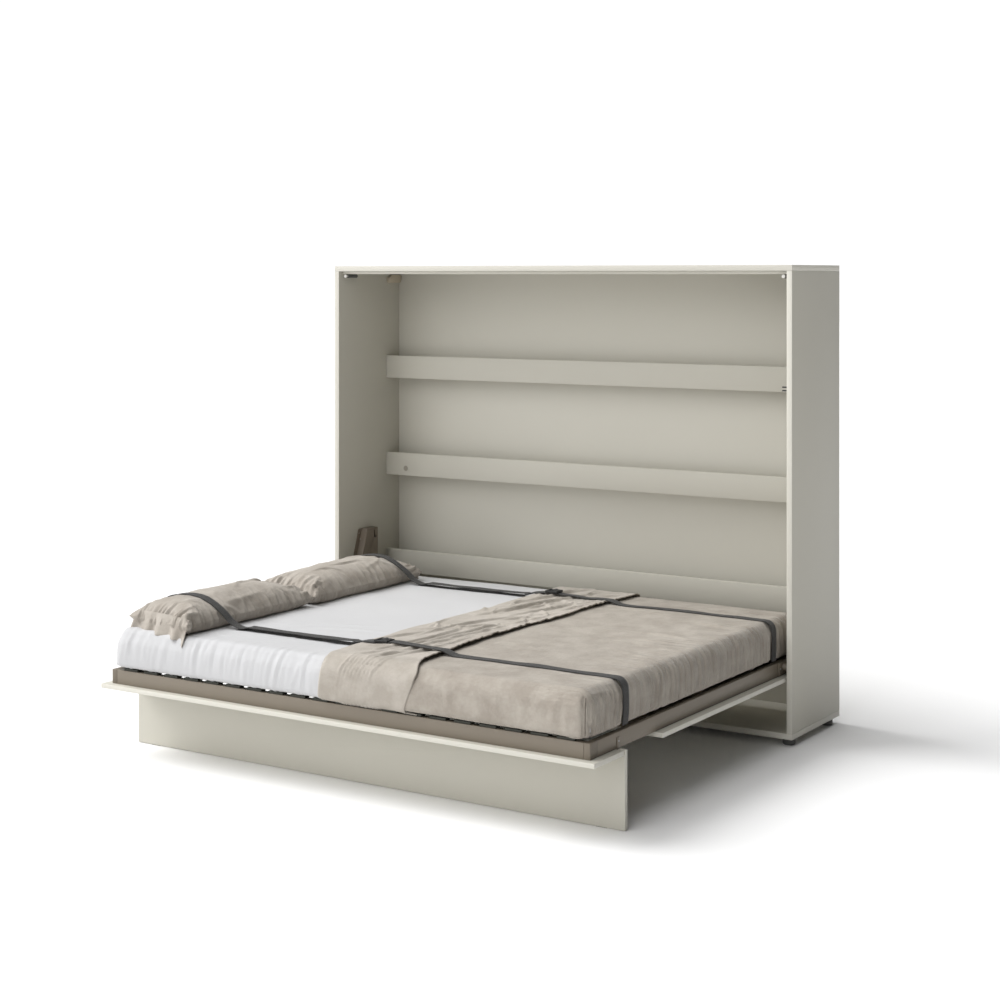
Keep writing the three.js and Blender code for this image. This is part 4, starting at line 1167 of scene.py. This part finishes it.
head_x = mattress_low[0] - 0.0035
foot_x = blanket_high[0] - 0.002
frame_z = mattress_low[2] + 0.003
top_z = mattress_high[2] + 0.002
blanket_z = blanket_high[2] + 0.0015
FOOT_BEND = 0.0342
FOOT_TURNS = (math.pi / 2, 1.18, 0.79, 0.39, 0)
foot_corner = [(foot_x - FOOT_BEND + FOOT_BEND * math.cos(a),
                blanket_high[2] - 0.0402 + FOOT_BEND * math.sin(a)) for a in FOOT_TURNS]
over_pillow = [(x, z + 0.0012) for x, z in zip(*STRAP_OVER_PILLOW)][1:]
strap_corners = [
    (head_x, frame_z), (head_x, top_z - 0.030), (head_x + 0.004, 0.506), *over_pillow,
    (-0.545, top_z), (-0.060, top_z), (-0.046, blanket_z), (0.304, blanket_z), (0.340, 0.4735),
    *foot_corner, (foot_x, frame_z)]
tail_corners = [(-0.600, top_z + 0.002), (-0.56, top_z), (-0.05, top_z), (-0.030, top_z + 0.012),
                (0.024, blanket_z)]
buckle_plastic = moulded("buckle_plastic", colour(38, 38, 38), 0.4)
for strap, y in strap_ys.items():
    path = evened(strap_corners, ROUTE_STEP)
    out = away(path)
    # Between pillow and blanket the strap hangs clear of the sheet.
    free = (path[:, 0] > -0.59) & (path[:, 0] < -0.03) & (out[:, 1] > 0.5)
    hung = np.pad(np.where(free, LIFTED, TIGHT), 5, mode="edge")
    heights = np.maximum(height_over(path, out, y), -0.006)
    offset = evenly_over(heights, np.convolve(hung, np.ones(11) / 11, "valid"))
    ribbon(f"{strap}_webbing", path + out * offset[:, None], y, WEBBING_W, [strap],
           seed=y)
    tail_y = y + 0.003
    ribbon(f"{strap}_tail", over_bedding(evened(tail_corners, ROUTE_STEP), tail_y, TIGHT), tail_y,
           WEBBING_W - 0.001, [strap], seed=y + 2)
    # The buckle sits on the strap, and a loop of webbing goes round its middle bar.
    node = strap.replace("strap_", "strap_buckle_")
    low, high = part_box(node)
    bar = (low.x + high.x) / 2
    under_bar = height_over(np.array([(bar, low.z)]), np.array([(0.0, 1.0)]), y)
    seat = max(float(under_bar[0]), 0.0) + 0.004
    buckle = softened(node, 0.0014, 3)
    bmesh.ops.translate(buckle, vec=(0, 0, seat), verts=buckle.verts)
    finished(f"{node}_frame", buckle, [buckle_plastic], "bed", [node])
    base_z, crown_z = low.z + seat, high.z + seat
    half_loop = [(0.030, base_z - 0.0035), (0.020, base_z - 0.001), (0.010, crown_z - 0.002),
                 (0.004, crown_z + 0.0012)]
    loop = [(bar - off, z) for off, z in half_loop] + [(bar + off, z) for off, z in half_loop[::-1]]
    ribbon(f"{strap}_loop", evened(loop, 0.0025), y, WEBBING_W - 0.004, [strap],
           0.0001, y)

# ---- screws in their plates ----------------------------------------------------------
# The pivot brackets are screwed to the side panels, the pivot plates and hinge plates to
# the bed frame, and the covers, wall brackets and latch keeper to the cabinet.

PIVOT_SCREWS = ((0.690, 0.612), (0.712, 0.540), (0.712, 0.400), (0.640, 0.470), (0.590, 0.345))
PLATE_SCREWS = ((0.507, 0.287), (0.590, 0.299), (0.625, 0.275))
for side, sign in (("left", -1), ("right", 1)):
    for number, (y, z) in enumerate(PIVOT_SCREWS):
        screw_head(f"pivot_bracket_{side}_screw_{number}", "cabinet", (sign * 1.0497, y, z),
                   (-sign, 0, 0), 0.0048, 0.0026)
    for number, (y, z) in enumerate(PLATE_SCREWS):
        screw_head(f"bed_pivot_{side}_screw_{number}", "bed", (sign * 1.0213, y, z),
                   (sign, 0, 0), 0.0036, 0.0012)
    screw_head(f"leg_hinge_{side}_screw", "bed", (sign * 1.0203, -0.7485, 0.2835), (sign, 0, 0),
               0.0030, 0.0010)
    screw_head(f"mechanism_cover_{side}_screw", "cabinet", (sign * 1.0507, 0.6435, 0.600),
               (-sign, 0, 0), 0.0042, 0.0024)
    for number, z in enumerate((1.745, 1.759)):
        screw_head(f"wall_hanger_{side}_screw_{number}", "cabinet", (sign * 1.0447, 0.8525, z),
                   (0, -1, 0), 0.0028, 0.0030)
for number, y in enumerate((0.5245, 0.5315)):
    screw_head(f"latch_keeper_screw_{number}", "cabinet", (1.0500, y, 1.3405), (-1, 0, 0),
               0.0022, 0.0014)
